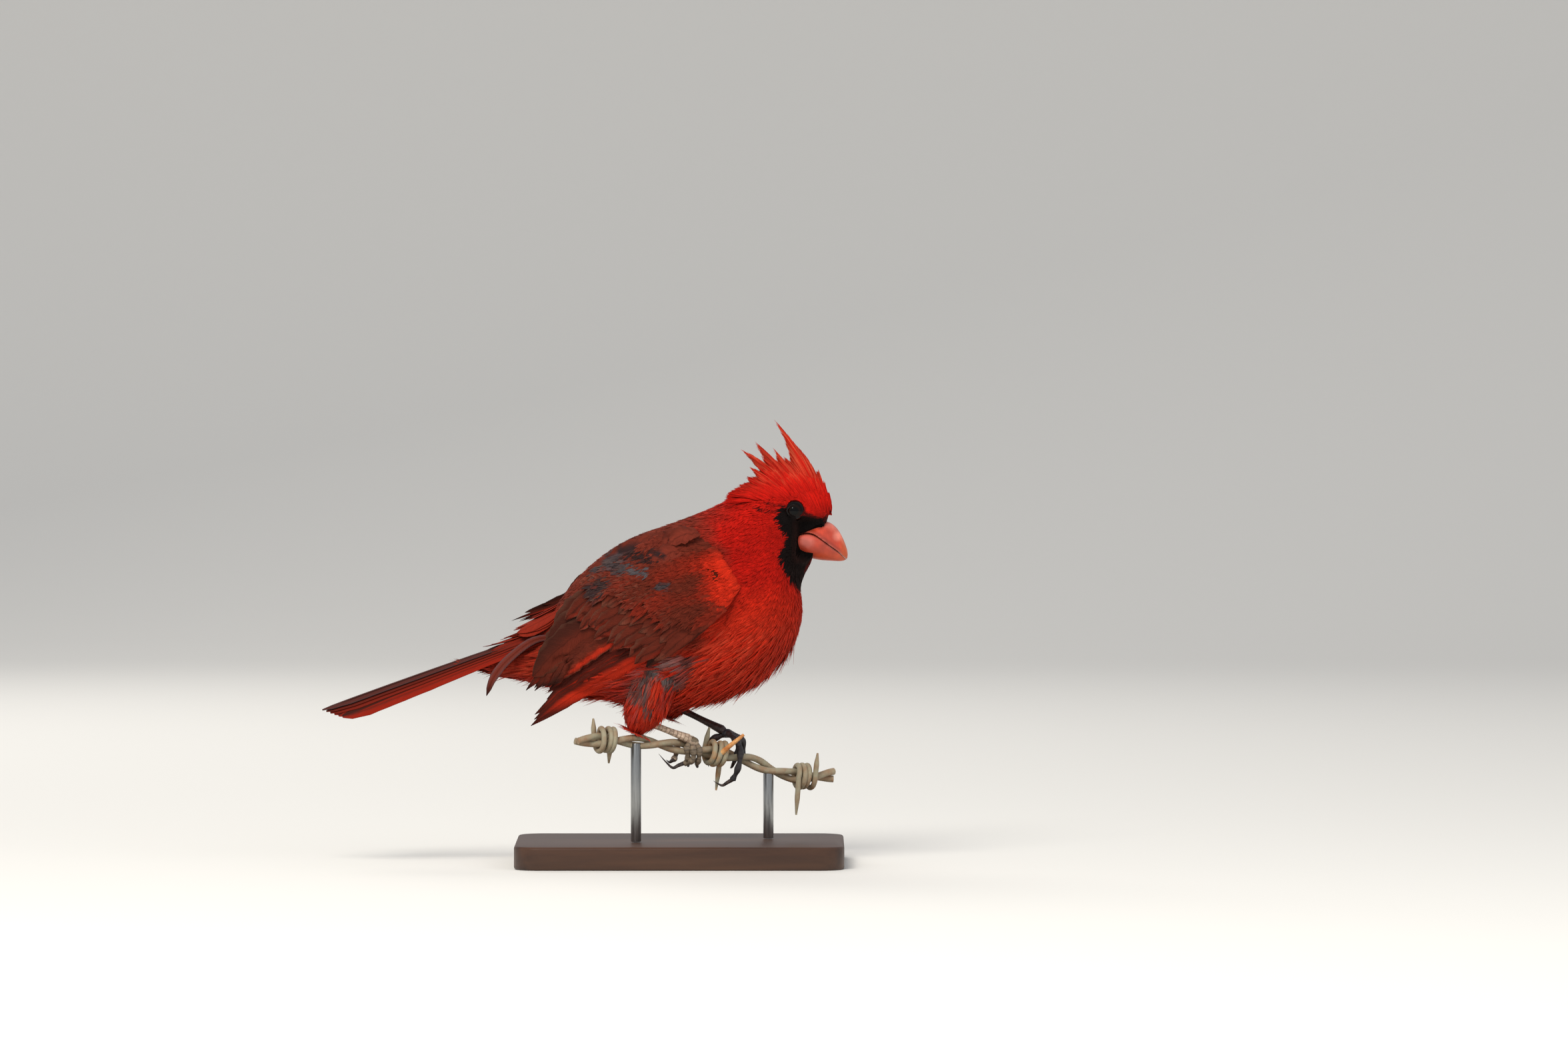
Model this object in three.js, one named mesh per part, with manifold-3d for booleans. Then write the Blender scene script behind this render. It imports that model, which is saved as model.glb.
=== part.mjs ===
// A life-size northern cardinal, perched on a short cut length of barbed wire that a plain stand holds up.
// Millimetres, +Z up, the bird faces +X, its right side faces -Y. The origin is the centre of the base's
// underside.
import * as THREE from "three";
import { mergeVertices } from "three/addons/utils/BufferGeometryUtils.js";
import Module from "manifold-3d";

const wasm = await Module();
wasm.setup();

// Driving dimensions. The bird's own sizes are measured from the point on the perch between its feet.
const GAP = 0.3; // space kept between neighbouring pieces
const SMOOTHED = 0.09; // creases and slivers smaller than this are dropped from the finished pieces
// From the base's underside centre to the point between the feet.
const PERCH = new THREE.Vector3(14, 0, 44);
const BASE = { length: 128, width: 86, height: 9, corner: 10, chamfer: 0.8 };
const ROD = { radius: 2, along: [-31, 20.5], sides: 12 };

// The body is a row of ovals along the spine, from the face back to the root of the tail.
// Each oval: x, z of its top, x, z of its bottom, half its width.
const BODY_OVALS = [
  [45.2, 96.4, 44.0, 92.0, 0.5],
  [45.0, 98.6, 40.6, 80.5, 4.2],
  [43.2, 100.6, 38.4, 75.2, 6.9],
  [39.4, 102.2, 36.4, 71.6, 9.4],
  [33.0, 103.8, 34.4, 67.8, 11.9],
  [24.6, 104.0, 33.2, 63.2, 13.9],
  [15.4, 102.6, 33.8, 57.8, 16.2],
  [6.0, 98.9, 33.6, 51.5, 18.9],
  [-6.0, 93.2, 31.2, 43.6, 21.9],
  [-20.0, 88.0, 25.6, 35.0, 24.4],
  [-33.0, 83.2, 15.0, 25.6, 25.2],
  [-44.0, 76.6, -2.0, 18.6, 24.2],
  [-53.0, 68.6, -22.0, 16.6, 20.6],
  [-60.0, 60.0, -40.0, 19.4, 15.8],
  [-65.0, 52.6, -55.0, 23.6, 11.6],
  [-70.0, 47.4, -66.0, 26.6, 8.6],
  [-77.0, 43.0, -76.0, 28.2, 6.4],
  [-84.0, 38.8, -86.0, 30.4, 4.6],
  [-91.0, 34.6, -91.4, 32.2, 0.8],
];
const BACK_NARROWING = 0.12; // how much narrower an oval is towards the back than towards the belly
// The face is drawn in beside the bill, over these ranges of x and z, to this half width.
const FACE = { x: [31, 36], low: [73, 77], high: [89, 92.5], halfWidth: 5.3 };
const BODY_SIDES = 24;
const BODY_RINGS = 32;
// Where the body is parted: x, z on the cut and the cut's lean (degrees).
const CUTS = { nape: [21.7, 83, 39], shoulders: [8.6, 68.0, 41], rump: [-48, 43, 21] };

const EYE = { x: 30.6, z: 94.1, radius: 4.2, seen: 2.85, lid: 0.55 };
const BILL = {
  // Ovals from inside the face out to the tip: x, z, half depth, half width.
  ovals: [
    [32.0, 83.6, 1.0, 1.0],
    [33.2, 83.4, 5.0, 6.0],
    [36.4, 82.9, 7.2, 6.5],
    [40.2, 82.4, 7.9, 6.4],
    [43.8, 80.9, 7.1, 5.6],
    [47.0, 78.9, 5.2, 4.2],
    [49.6, 76.8, 3.0, 2.4],
    [50.7, 75.8, 1.6, 1.2],
    [51.2, 75.2, 0.3, 0.3],
  ],
  lean: -27,
  // The line of the mouth, from the gape to the tip.
  mouth: [[26, 84.6], [31.9, 84.9], [35.4, 85.3], [38.2, 84.7], [40.8, 83.0], [44.2, 80.4], [47.7, 77.8],
    [50.6, 75.2], [54, 72.6]],
  nostril: { x: 42.0, z: 87.3, radius: 0.75 },
};

// Crest feathers from the forehead back: place along the crown (0 front, 1 rear), angle above +X, length,
// and the file it stands in (0 is the middle of the crown, 1 and 2 are the pairs beside it).
const CREST = [
  [0.0, 76, 6.8, 0], [0.1, 86, 12, 0], [0.21, 95, 19.6, 0], [0.32, 104.5, 28.9, 0], [0.42, 112, 19, 0],
  [0.54, 119, 20, 0],
  [0.68, 122, 18.5, 0], [0.82, 126, 11.5, 0],
  [0.04, 79, 7.5, 1], [0.16, 91, 14, 1], [0.29, 102, 23, 1], [0.42, 111, 16.5, 1], [0.56, 117, 18, 1],
  [0.71, 122, 15.5, 1],
  [0.87, 132, 8.5, 1],
  [0.2, 96, 11.5, 2], [0.4, 108, 13.5, 2], [0.6, 118, 12.5, 2], [0.8, 130, 8, 2],
];
const CREST_ROOT = {
  front: [41.6, 98.8], rear: [14.5, 100.4], rise: 2.6, sink: 3.4, spread: 2.7, lean: 0.085, width: 2.7,
};

const TAIL = {
  root: [-62, 48.4], fall: 18.5, length: 97, pairs: 6, halfWidth: 4.9, fan: 0.62, step: 0.55, roll: 26,
    rounded: 1.4, droop: 1.5,
};
// One loose feather of the rump hangs down beside the tail.
const LOOSE_FEATHER = {
  path: [[-60, -6, 45], [-71, -9, 43.5], [-81, -10.2, 36], [-86.5, -10.6, 29], [-88.8, -10.8, 22.6]],
  halfWidth: 2.7,
};

// A folded wing is laid out in its own plane: p runs from the wrist to the tip, q runs up across the wing.
const WINGS = {
  right: { side: -1, wrist: [1.1, 64.8], droop: 31, rise: 1.0 },
  left: { side: 1, wrist: [3.5, 66.0], droop: 12, rise: 0.5 },
};
const WING_SHELL = {
  outline: [[-4.5, 3], [2, -8.5], [16, -12], [30, -11], [34, -3], [38, 8], [40.5, 19], [36, 28], [22, 29],
    [6, 19]],
  depth: 5.4,
};
const REST = 0.45; // how far the wings stay clear of the body
const OUTER_EDGE = 9.5; // the wing stays at least this far from the bird's middle
// Each row of feathers: how many, first and last root (p, q), first and last tip, half width, height over
// the body.
const FLIGHT_ROWS = {
  primaries: {
    count: 8, roots: [[31, -8], [34, -2.5]], tips: [[90.5, -8.4], [79, -0.5]], halfWidth: 4.0,
    lift: 1.7, tilt: 0.2, bar: { q: [-10.5, -0.5], lift: 1.7, thickness: 1.5 },
  },
  secondaries: {
    count: 6, roots: [[34, -6], [39, 8]], tips: [[82, -3], [84, 2.8]], halfWidth: 4.4,
    lift: 4.45, tilt: 0.17, bar: { q: [-7, 25], lift: 4.75, thickness: 1.5 },
  },
  tertials: { count: 3, roots: [[39, 12], [40, 22]], tips: [[79, 5.5], [64, 15]], halfWidth: 5.0,
    lift: 5.0, tilt: 0.12 },
};
const COVERT_ROWS = {
  greater: { count: 8, roots: [[12, -9], [20, 20]], tips: [[40, -7], [52, 18]], halfWidth: 3.4, lift: 7.5,
    tilt: 0.14, sink: 4.2 },
  median: { count: 6, roots: [[4, -7], [9, 17]], tips: [[27, -7], [37, 18]], halfWidth: 3.4, lift: 7.4,
    tilt: 0.14, sink: 4.2 },
};
const VANE_THICKNESS = 0.55;

const LEGS = {
  right: {
    hip: [-19, -12, 36], knee: [-29.4, -10.4, 12.8], joint: [-8.8, -6.4, 4.4], thigh: 11.5,
    toes: {
      inner: { path: [[-8.4, -6.4, 4.2], [-6.6, -8.0, 1.4], [-6.6, -7.2, -2.4], [-7.4, -4.6, -4.8]],
        claw: [[-7.2, -2.4, -6.0], [-6.8, 0.4, -5.0]] },
      middle: { path: [[-8.8, -6.6, 4.2], [-8.8, -8.8, 1.6], [-8.7, -8.4, -2.4], [-10.6, -6.6, -4.2],
        [-12.2, -6.0, -4.4]], claw: [[-16.8, -6.8, -6.2], [-22.3, -6.6, -0.7]] },
      outer: { path: [[-9.2, -6.6, 4.2], [-11.0, -8.8, 2.0], [-10.9, -8.2, -1.2], [-10.7, -5.4, -4.2]],
        claw: [[-10.8, -3.0, -5.6], [-10.9, -0.6, -4.6]] },
      hind: { path: [[-9.2, -5.6, 4.6], [-12.2, -3.4, 6.0], [-14.6, -1.2, 3.2], [-15.6, -1.8, -1.4],
        [-16.4, -5.0, -3.2]], claw: [[-18.0, -3.8, -4.2], [-19.4, -2.0, -3.4]] },
    },
  },
  left: {
    hip: [-9, 12, 38], knee: [-17.9, 9.8, 17.9], joint: [4.4, 4.2, 7.0], thigh: 10.5,
    toes: {
      inner: { path: [[4.9, 3.6, 6.6], [8.2, 1.6, 4.6], [8.6, 3.0, 0.4], [7.2, 4.4, -4.4]],
        claw: [[6.2, 6.0, -6.6], [5.4, 8.0, -7.2]] },
      middle: { path: [[4.9, 3.4, 6.6], [7.2, 0.4, 4.8], [9.3, -1.0, 1.8], [9.4, -1.2, -3.4],
        [8.2, -0.4, -8.0], [6.6, 0.6, -11.2]], claw: [[2.6, 1.6, -13.6], [-1.0, 1.6, -11.8]] },
      outer: { path: [[5.0, 4.4, 6.6], [9.8, 5.2, 4.4], [10.6, 7.4, -0.4], [9.4, 6.2, -4.6]],
        claw: [[8.6, 5.0, -6.8], [8.2, 3.0, -7.6]] },
      hind: { path: [[4.6, 4.8, 6.4], [0.8, 5.2, 5.2], [-2.4, 5.2, 3.4], [-3.0, 5.0, -1.6]],
        claw: [[-3.0, 3.8, -4.6], [-2.8, 1.8, -6.4]] },
    },
  },
};
const SHANK_RADIUS = 1.75;
const TOE = { radius: 1.3, end: 1.05, pad: 0.2, sides: 5 };
const CLAW = { radius: 0.85, sides: 6 };

// The wire's middle line, x and z; it also runs away from the viewer as x grows.
const WIRE = {
  line: [[-54, 5.0], [-42, 5.2], [-30, 4.2], [-19, 2.8], [-8.4, 0.6], [2, -1.2], [12, -3.6], [22, -8.0],
    [33, -10.8], [46, -10.6]],
  away: 0.4, strand: 1.3, turn: 34, sides: 7, steps: 34,
};
// Each barb: place along x, turns round the wire, and where each of its two ends leaves it: the angle about
// the wire (0 is towards the viewer's far side, 90 is up) and the length.
const BARBS = {
  barb_rear: { at: -42.5, turns: 2.0, rear: [100, 9], front: [262, 10] },
  barb_middle: { at: 0.2, turns: 2.2, rear: [80, 9], front: [275, 14] },
  barb_front: { at: 34, turns: 2.2, rear: [268, 15], front: [84, 10] },
};
const BARB = { radius: 1.05, pitch: 2.3, sides: 5 };

const rad = THREE.MathUtils.degToRad;
const V = (x, y, z) => new THREE.Vector3(x, y, z);

// A closed geometry as a solid, turned the right way out.
function solid(geometry) {
  const bare = new THREE.BufferGeometry().setAttribute("position", geometry.getAttribute("position"));
  if (geometry.index) bare.setIndex(geometry.index);
  const merged = mergeVertices(bare, 1e-4);
  const triVerts = new Uint32Array(merged.index.array);
  const build = () =>
    new wasm.Manifold(new wasm.Mesh({ numProp: 3, vertProperties: merged.attributes.position.array,
      triVerts }));
  let made = build();
  if (made.volume() < 0) {
    for (let i = 0; i < triVerts.length; i += 3) [triVerts[i + 1], triVerts[i + 2]] =
      [triVerts[i + 2], triVerts[i + 1]];
    made = build();
  }
  return made;
}

const largest = (made) => made.decompose().reduce((a, b) => (b.volume() > a.volume() ? b : a));
const fuse = (solids) => solids.reduce((a, b) => a.add(b));

function geometryOf(manifold) {
  const mesh = largest(manifold.asOriginal().simplify(SMOOTHED)).getMesh();
  const positions = new Float32Array(mesh.numVert * 3);
  for (let i = 0; i < mesh.numVert; i++) {
    positions.set(mesh.vertProperties.subarray(i * mesh.numProp, i * mesh.numProp + 3), i * 3);
  }
  const geometry = new THREE.BufferGeometry()
    .setAttribute("position", new THREE.BufferAttribute(positions, 3));
  return geometry.setIndex(new THREE.BufferAttribute(mesh.triVerts, 1));
}

// A sphere's net drawn over a shape: place(t, angle) gives the point at share t along it and an angle round
// it.
function wrapped(sides, rings, place) {
  const geometry = new THREE.SphereGeometry(1, sides, rings);
  const uv = geometry.getAttribute("uv");
  const position = geometry.getAttribute("position");
  for (let i = 0; i < position.count; i++) {
    const t = 1 - uv.getY(i);
    const pole = t < 1e-6 || t > 1 - 1e-6;
    const turn = Math.round(uv.getX(i) * sides) % sides;
    const p = place(t, pole ? 0 : (turn / sides) * 2 * Math.PI, pole);
    position.setXYZ(i, p.x, p.y, p.z);
  }
  return solid(geometry);
}

// A round bar along a path, its radius given at each share of the length, with closed pointed ends.
function bar(points, radiusAt, sides, rings, overhang = 0) {
  const curve = points.length > 2 ? new THREE.CatmullRomCurve3(points, false, "centripetal")
    : new THREE.LineCurve3(...points);
  const along = points[points.length - 1].clone().sub(points[0]).normalize();
  const reference = Math.abs(along.y) < 0.8 ? V(0, 1, 0) : V(1, 0, 0);
  return wrapped(sides, rings, (t, angle, pole) => {
    const end = 0.02;
    const share = THREE.MathUtils.clamp((t - end) / (1 - 2 * end), 0, 1);
    const at = curve.getPoint(share);
    const tangent = curve.getTangent(share);
    if (pole) return at.addScaledVector(tangent, t < 0.5 ? -overhang : overhang);
    const side = V(0, 0, 0).crossVectors(tangent, reference).normalize();
    const up = V(0, 0, 0).crossVectors(side, tangent);
    const r = radiusAt(share);
    return at.addScaledVector(side, r * Math.cos(angle)).addScaledVector(up, r * Math.sin(angle));
  });
}

// A thin closed plate through a grid of points, thickened along each point's normal; both faces are split
// alike.
function plate(grid, thicknessAt) {
  const rows = grid.length;
  const columns = grid[0].length;
  const normalAt = (i, j) => {
    const along = grid[Math.min(i + 1, rows - 1)][j].clone().sub(grid[Math.max(i - 1, 0)][j]);
    const across = grid[i][Math.min(j + 1, columns - 1)].clone().sub(grid[i][Math.max(j - 1, 0)]);
    return along.cross(across).normalize();
  };
  const positions = [];
  for (const face of [1, -1]) {
    for (let i = 0; i < rows; i++) {
      for (let j = 0; j < columns; j++) {
        const p = grid[i][j].clone().addScaledVector(normalAt(i, j), (face * thicknessAt(i, j)) / 2);
        positions.push(p.x, p.y, p.z);
      }
    }
  }
  const count = rows * columns;
  const index = [];
  const quad = (a, b, c, d) => index.push(a, b, c, a, c, d);
  for (let i = 0; i < rows - 1; i++) {
    for (let j = 0; j < columns - 1; j++) {
      const a = i * columns + j;
      quad(a, a + 1, a + columns + 1, a + columns);
      const b = a + count;
      index.push(b, b + columns + 1, b + 1, b, b + columns, b + columns + 1);
    }
  }
  for (let i = 0; i < rows - 1; i++) {
    const l = i * columns;
    quad(l, l + columns, l + columns + count, l + count);
    const r = l + columns - 1;
    quad(r, r + count, r + columns + count, r + columns);
  }
  for (let j = 0; j < columns - 1; j++) {
    quad(j, j + count, j + 1 + count, j + 1);
    const e = (rows - 1) * columns + j;
    quad(e, e + 1, e + 1 + count, e + count);
  }
  const geometry = new THREE.BufferGeometry();
  geometry.setAttribute("position", new THREE.BufferAttribute(new Float32Array(positions), 3));
  return solid(geometry.setIndex(index));
}

// How wide a feather is at each share of its length: a narrow root, a full middle and a round or pointed
// tip.
const FEATHER_STATIONS = [0, 0.3, 0.66, 0.9, 1];
const ROUND_TIP = [0.4, 0.85, 1, 0.78, 0.2];
const COVERT_STATIONS = [0, 0.56, 1];
const COVERT_TIP = [0.6, 1, 0.3];
const CREST_STATIONS = [0, 0.42, 0.8, 1];
const POINTED_TIP = [0.7, 1, 0.6, 0.08];

// The body's ovals, read between the ones given.
const ovalTops = new THREE.CatmullRomCurve3(BODY_OVALS.map(([x, z, , , w]) => V(x, w, z)), false,
  "catmullrom", 0.5);
const ovalBottoms = new THREE.CatmullRomCurve3(BODY_OVALS.map(([, , x, z]) => V(x, 0, z)), false,
  "catmullrom", 0.5);

function ovalAt(t) {
  const top = ovalTops.getPoint(t);
  const bottom = ovalBottoms.getPoint(t);
  const depth = Math.hypot(top.x - bottom.x, top.z - bottom.z) / 2;
  return {
    x: (top.x + bottom.x) / 2, z: (top.z + bottom.z) / 2, depth, width: Math.max(top.y, 0.3),
    up: [(top.x - bottom.x) / (2 * depth), (top.z - bottom.z) / (2 * depth)],
  };
}

// The body's half width y at x, z, drawn in beside the bill.
function drawnIn(x, y, z, grow) {
  const { smoothstep, lerp, clamp } = THREE.MathUtils;
  const share = smoothstep(x, ...FACE.x) * smoothstep(z, ...FACE.low) * (1 - smoothstep(z, ...FACE.high));
  return lerp(y, clamp(y, -FACE.halfWidth - grow, FACE.halfWidth + grow), share);
}

function body(grow, sides = BODY_SIDES, rings = BODY_RINGS) {
  return wrapped(sides, rings, (t, angle, pole) => {
    const o = ovalAt(t);
    const ahead = t < 0.5 ? 1 : -1;
    if (pole) return V(o.x + ahead * grow, 0, o.z);
    const rise = (o.depth + grow) * Math.sin(angle);
    const y = (o.width + grow) * Math.cos(angle) * (1 - BACK_NARROWING * Math.sin(angle));
    const end = Math.min(t, 1 - t) < 0.02 ? ahead * grow : 0;
    const x = o.x + o.up[0] * rise + end;
    const z = o.z + o.up[1] * rise;
    return V(x, drawnIn(x, y, z, grow), z);
  });
}

// Half the body's width at a point of its side view.
const OVALS = Array.from({ length: 161 }, (_, k) => ovalAt(k / 160));
function halfWidth(x, z) {
  let best = 0;
  let off = Infinity;
  let before = null;
  for (const o of OVALS) {
    const along = (x - o.x) * o.up[1] - (z - o.z) * o.up[0];
    if (before !== null && Math.sign(along) !== Math.sign(before)) {
      const s = ((x - o.x) * o.up[0] + (z - o.z) * o.up[1]) / o.depth;
      if (Math.abs(s) < off) {
        off = Math.abs(s);
        best = o.width * Math.sqrt(Math.max(0, 1 - s * s)) * (1 - BACK_NARROWING * s);
      }
    }
    before = along;
  }
  return best;
}

// A thin slab across the body at a cut.
function slab([x, z, lean]) {
  const geometry = new THREE.BoxGeometry(GAP, 160, 160);
  geometry.rotateY(-rad(lean));
  geometry.translate(x, 0, z);
  return solid(geometry);
}

function block(x0, x1, y0, y1, z0, z1) {
  const geometry = new THREE.BoxGeometry(x1 - x0, y1 - y0, z1 - z0);
  geometry.translate((x0 + x1) / 2, (y0 + y1) / 2, (z0 + z1) / 2);
  return solid(geometry);
}

// The bill, whole, then parted along the line of the mouth.
function bill(grow = 0) {
  const centres = new THREE.CatmullRomCurve3(BILL.ovals.map(([x, z]) => V(x, 0, z)), false, "catmullrom",
    0.5);
  const sizes = new THREE.CatmullRomCurve3(BILL.ovals.map(([, , h, w]) => V(h, w, 0)), false, "catmullrom",
    0.5);
  const up = [-Math.sin(rad(BILL.lean)), Math.cos(rad(BILL.lean))];
  return wrapped(16, 16, (t, angle, pole) => {
    const c = centres.getPoint(t);
    const s = sizes.getPoint(t);
    if (pole) return V(c.x + (t < 0.5 ? -1 : 1) * grow, 0, c.z);
    const rise = (Math.max(s.x, 0.2) + grow) * Math.sin(angle);
    const sharp = 1 - 0.16 * Math.abs(Math.sin(angle));
    return V(c.x + up[0] * rise, (Math.max(s.y, 0.2) + grow) * Math.cos(angle) * sharp, c.z + up[1] * rise);
  });
}

function mouthBlade() {
  const line = new THREE.CatmullRomCurve3(BILL.mouth.map(([x, z]) => V(x, 0, z)), false, "catmullrom", 0.5);
  const steps = 14;
  const grid = Array.from({ length: steps + 1 }, (_, i) => {
    const p = line.getPoint(i / steps);
    return [V(p.x, -12, p.z), V(p.x, 12, p.z)];
  });
  return plate(grid, () => GAP);
}

function billHalves() {
  const nostril = (side) => {
    const geometry = new THREE.SphereGeometry(BILL.nostril.radius, 8, 6);
    geometry.translate(BILL.nostril.x, side * 4.3, BILL.nostril.z);
    return solid(geometry);
  };
  const halves = bill().subtract(mouthBlade()).decompose();
  halves.sort((a, b) => b.volume() - a.volume());
  const [upper, lower] = halves.slice(0, 2).sort((a, b) => b.boundingBox().max[2] - a.boundingBox().max[2]);
  return { upper: upper.subtract(nostril(-1)).subtract(nostril(1)), lower };
}

function eyeball(side, grow = 0) {
  const radius = EYE.radius + grow;
  const deep = Math.sqrt(EYE.radius ** 2 - EYE.seen ** 2);
  const geometry = new THREE.SphereGeometry(radius, 14, 8);
  geometry.translate(EYE.x, side * (halfWidth(EYE.x, EYE.z) - deep + 0.1), EYE.z);
  return solid(geometry);
}

function eyelid(side) {
  const geometry = new THREE.TorusGeometry(EYE.seen + EYE.lid * 0.6, EYE.lid, 5, 16);
  geometry.rotateX(Math.PI / 2);
  geometry.rotateZ(side * rad(14));
  geometry.translate(EYE.x, side * (halfWidth(EYE.x, EYE.z) + 0.1), EYE.z);
  return solid(geometry);
}

// A crest feather: a flat pointed vane that stands in the bird's long plane; the side files lean to the
// middle.
function crestFeather([share, angle, length, file], side) {
  const { front, rear, rise, sink, spread, lean, width } = CREST_ROOT;
  const out = side * spread * file * (0.45 + 0.55 * Math.sin(Math.PI * Math.min(1, share + 0.15)));
  const root = V(
    front[0] + (rear[0] - front[0]) * share,
    out,
    front[1] + (rear[1] - front[1]) * share + rise * Math.sin(Math.PI * share) - 0.5 * file * file,
  );
  const turn = rad(angle + (side + file) * 2);
  const grow = V(Math.cos(turn), -side * lean * file, Math.sin(turn)).normalize();
  const across = V(Math.sin(turn), 0, -Math.cos(turn));
  const grid = CREST_STATIONS.map((s, i) => {
    const at = root.clone().addScaledVector(grow, -sink + (length + sink) * s)
      .addScaledVector(across, -0.06 * length * s * s);
    const half = (width * POINTED_TIP[i] * (9 + length)) / 27;
    return [-1, 1].map((c) => at.clone().addScaledVector(across, c * half));
  });
  return plate(grid, (i) => (i === 3 ? 0.4 : 0.75));
}

function tailFeather(pair, side) {
  const { root, fall, length, halfWidth: half, fan, step, roll, rounded, droop } = TAIL;
  const a = rad(fall);
  const back = V(-Math.cos(a), 0, -Math.sin(a));
  const up = V(-Math.sin(a), 0, Math.cos(a));
  const turn = rad(fan * (pair + 0.35)) * side;
  const grow = back.clone().multiplyScalar(Math.cos(turn)).add(V(0, Math.sin(turn), 0));
  const tip = rad(roll * (0.35 + 0.18 * pair)) * side;
  const across = V(0, Math.cos(tip), 0).addScaledVector(up, -Math.sin(tip)).normalize();
  const start = V(root[0], side * (1.2 + pair * 0.85), root[1])
    .addScaledVector(up, -pair * step * 0.72 - (side > 0 ? 0.35 : 0));
  const reach = length - pair * rounded;
  const grid = FEATHER_STATIONS.map((s, i) => {
    const at = start.clone().addScaledVector(grow, reach * s).addScaledVector(up, -pair * step * s);
    at.addScaledVector(up, -droop * s * s);
    const w = half * ROUND_TIP[i] * (0.75 + 0.3 * s);
    return [-0.8, 0, 1.1].map((c) => at.clone().addScaledVector(across, side * c * w));
  });
  return plate(grid, (i, j) => (j === 1 ? 0.85 : VANE_THICKNESS));
}

function looseFeather() {
  const line = new THREE.CatmullRomCurve3(LOOSE_FEATHER.path.map(([x, y, z]) => V(x, y, z)));
  const grid = FEATHER_STATIONS.map((s, i) => {
    const tangent = line.getTangent(s);
    const across = V(0, 0, 0).crossVectors(V(0.15, -1, 0.25), tangent).normalize();
    return [-1, 0, 1].map((c) =>
      line.getPoint(s).addScaledVector(across, c * LOOSE_FEATHER.halfWidth * ROUND_TIP[i]));
  });
  return plate(grid, (i, j) => (j === 1 ? 0.8 : VANE_THICKNESS));
}

// A wing lies on the body's side, but no nearer to the middle than its outer edge allows.
function wingRest(x, z) {
  return (halfWidth(x, z) ** 4 + OUTER_EDGE ** 4) ** 0.25;
}

// A point of a folded wing: p, q in the wing's plane, lift away from the body.
function wingPoint(wing, p, q, lift) {
  const a = rad(wing.droop);
  const across = q > 0 ? q * wing.rise : q;
  const x = wing.wrist[0] - Math.cos(a) * p - Math.sin(a) * across;
  const z = wing.wrist[1] - Math.sin(a) * p + Math.cos(a) * across;
  const step = 1.5;
  const slopeX = (wingRest(x + step, z) - wingRest(x - step, z)) / (2 * step);
  const slopeZ = (wingRest(x, z + step) - wingRest(x, z - step)) / (2 * step);
  const out = V(-slopeX, 1, -slopeZ).clampLength(0, 1.7).normalize();
  return V(x + out.x * lift, wing.side * (wingRest(x, z) + out.y * lift), z + out.z * lift);
}

const between = ([a, b], s) => [a[0] + (b[0] - a[0]) * s, a[1] + (b[1] - a[1]) * s];

// One feather of a wing row, laid on the body's curve and tilted so that each lies over the next.
function wingFeather(wing, row, k, stations = FEATHER_STATIONS, tipShape = ROUND_TIP,
  columns = [-1, 0, 1]) {
  const s0 = row.count > 1 ? k / (row.count - 1) : 0;
  const root = between(row.roots, s0);
  const tip = between(row.tips, s0);
  const run = [tip[0] - root[0], tip[1] - root[1]];
  const length = Math.hypot(...run);
  const across = [-run[1] / length, run[0] / length];
  const grid = stations.map((s, i) => {
    const bow = 1.6 * Math.sin(Math.PI * s);
    const half = row.halfWidth * tipShape[i];
    return columns.map((c) => {
      const side = c * half + bow;
      const lift = row.lift + row.tilt * c * half - (row.sink || 0) * (1 - s) ** 3;
      return wingPoint(wing, root[0] + run[0] * s + across[0] * side,
        root[1] + run[1] * s + across[1] * side, lift);
    });
  });
  return plate(grid, (i, j) => (columns[j] === 0 ? 0.8 : VANE_THICKNESS));
}

// The bar that a row of flight feathers grows from, along the rear edge of the wing's shell.
function rootBar(wing, { q, lift, thickness }) {
  const steps = 8;
  const grid = Array.from({ length: steps + 1 }, (_, i) => {
    const at = q[0] + ((q[1] - q[0]) * i) / steps;
    const p = 33 + 0.25 * at;
    return [-4, 1, 6].map((d) => wingPoint(wing, p + d, at, lift));
  });
  return plate(grid, () => thickness);
}

// The shell's outline in the wing's plane, widened by a margin.
function shellOutline(grow) {
  const points = WING_SHELL.outline;
  const centre = points.reduce((a, [p, q]) => [a[0] + p / points.length, a[1] + q / points.length], [0, 0]);
  const ring = new THREE.CatmullRomCurve3(
    points.map(([p, q]) => {
      const reach = Math.hypot(p - centre[0], q - centre[1]);
      return V(centre[0] + ((p - centre[0]) * (reach + grow)) / reach,
        centre[1] + ((q - centre[1]) * (reach + grow)) / reach, 0);
    }),
    true,
    "centripetal",
  );
  return { centre: V(centre[0], centre[1], 0), ring };
}

// The wing's arm and hand under their coverts: a shell that is thin at its front edge and full at its rear
// edge. Grown, it is the room that the flight feathers leave for it.
function wingShell(wing, grow = 0) {
  const { centre, ring } = shellOutline(grow);
  return wrapped(20, 12, (t, angle, pole) => {
    const reach = pole ? 0 : Math.sin(Math.PI * t);
    const at = centre.clone().lerp(ring.getPoint(angle / (2 * Math.PI)), reach);
    const front = 1 - THREE.MathUtils.smoothstep(at.x, 16, 30);
    const full = Math.sqrt(Math.max(0, 1 - front * reach ** 4));
    return wingPoint(wing, at.x, at.y,
      t < 0.5 ? REST + 0.3 + (WING_SHELL.depth - 0.3) * full + 4 * grow : REST - grow);
  });
}

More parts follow.
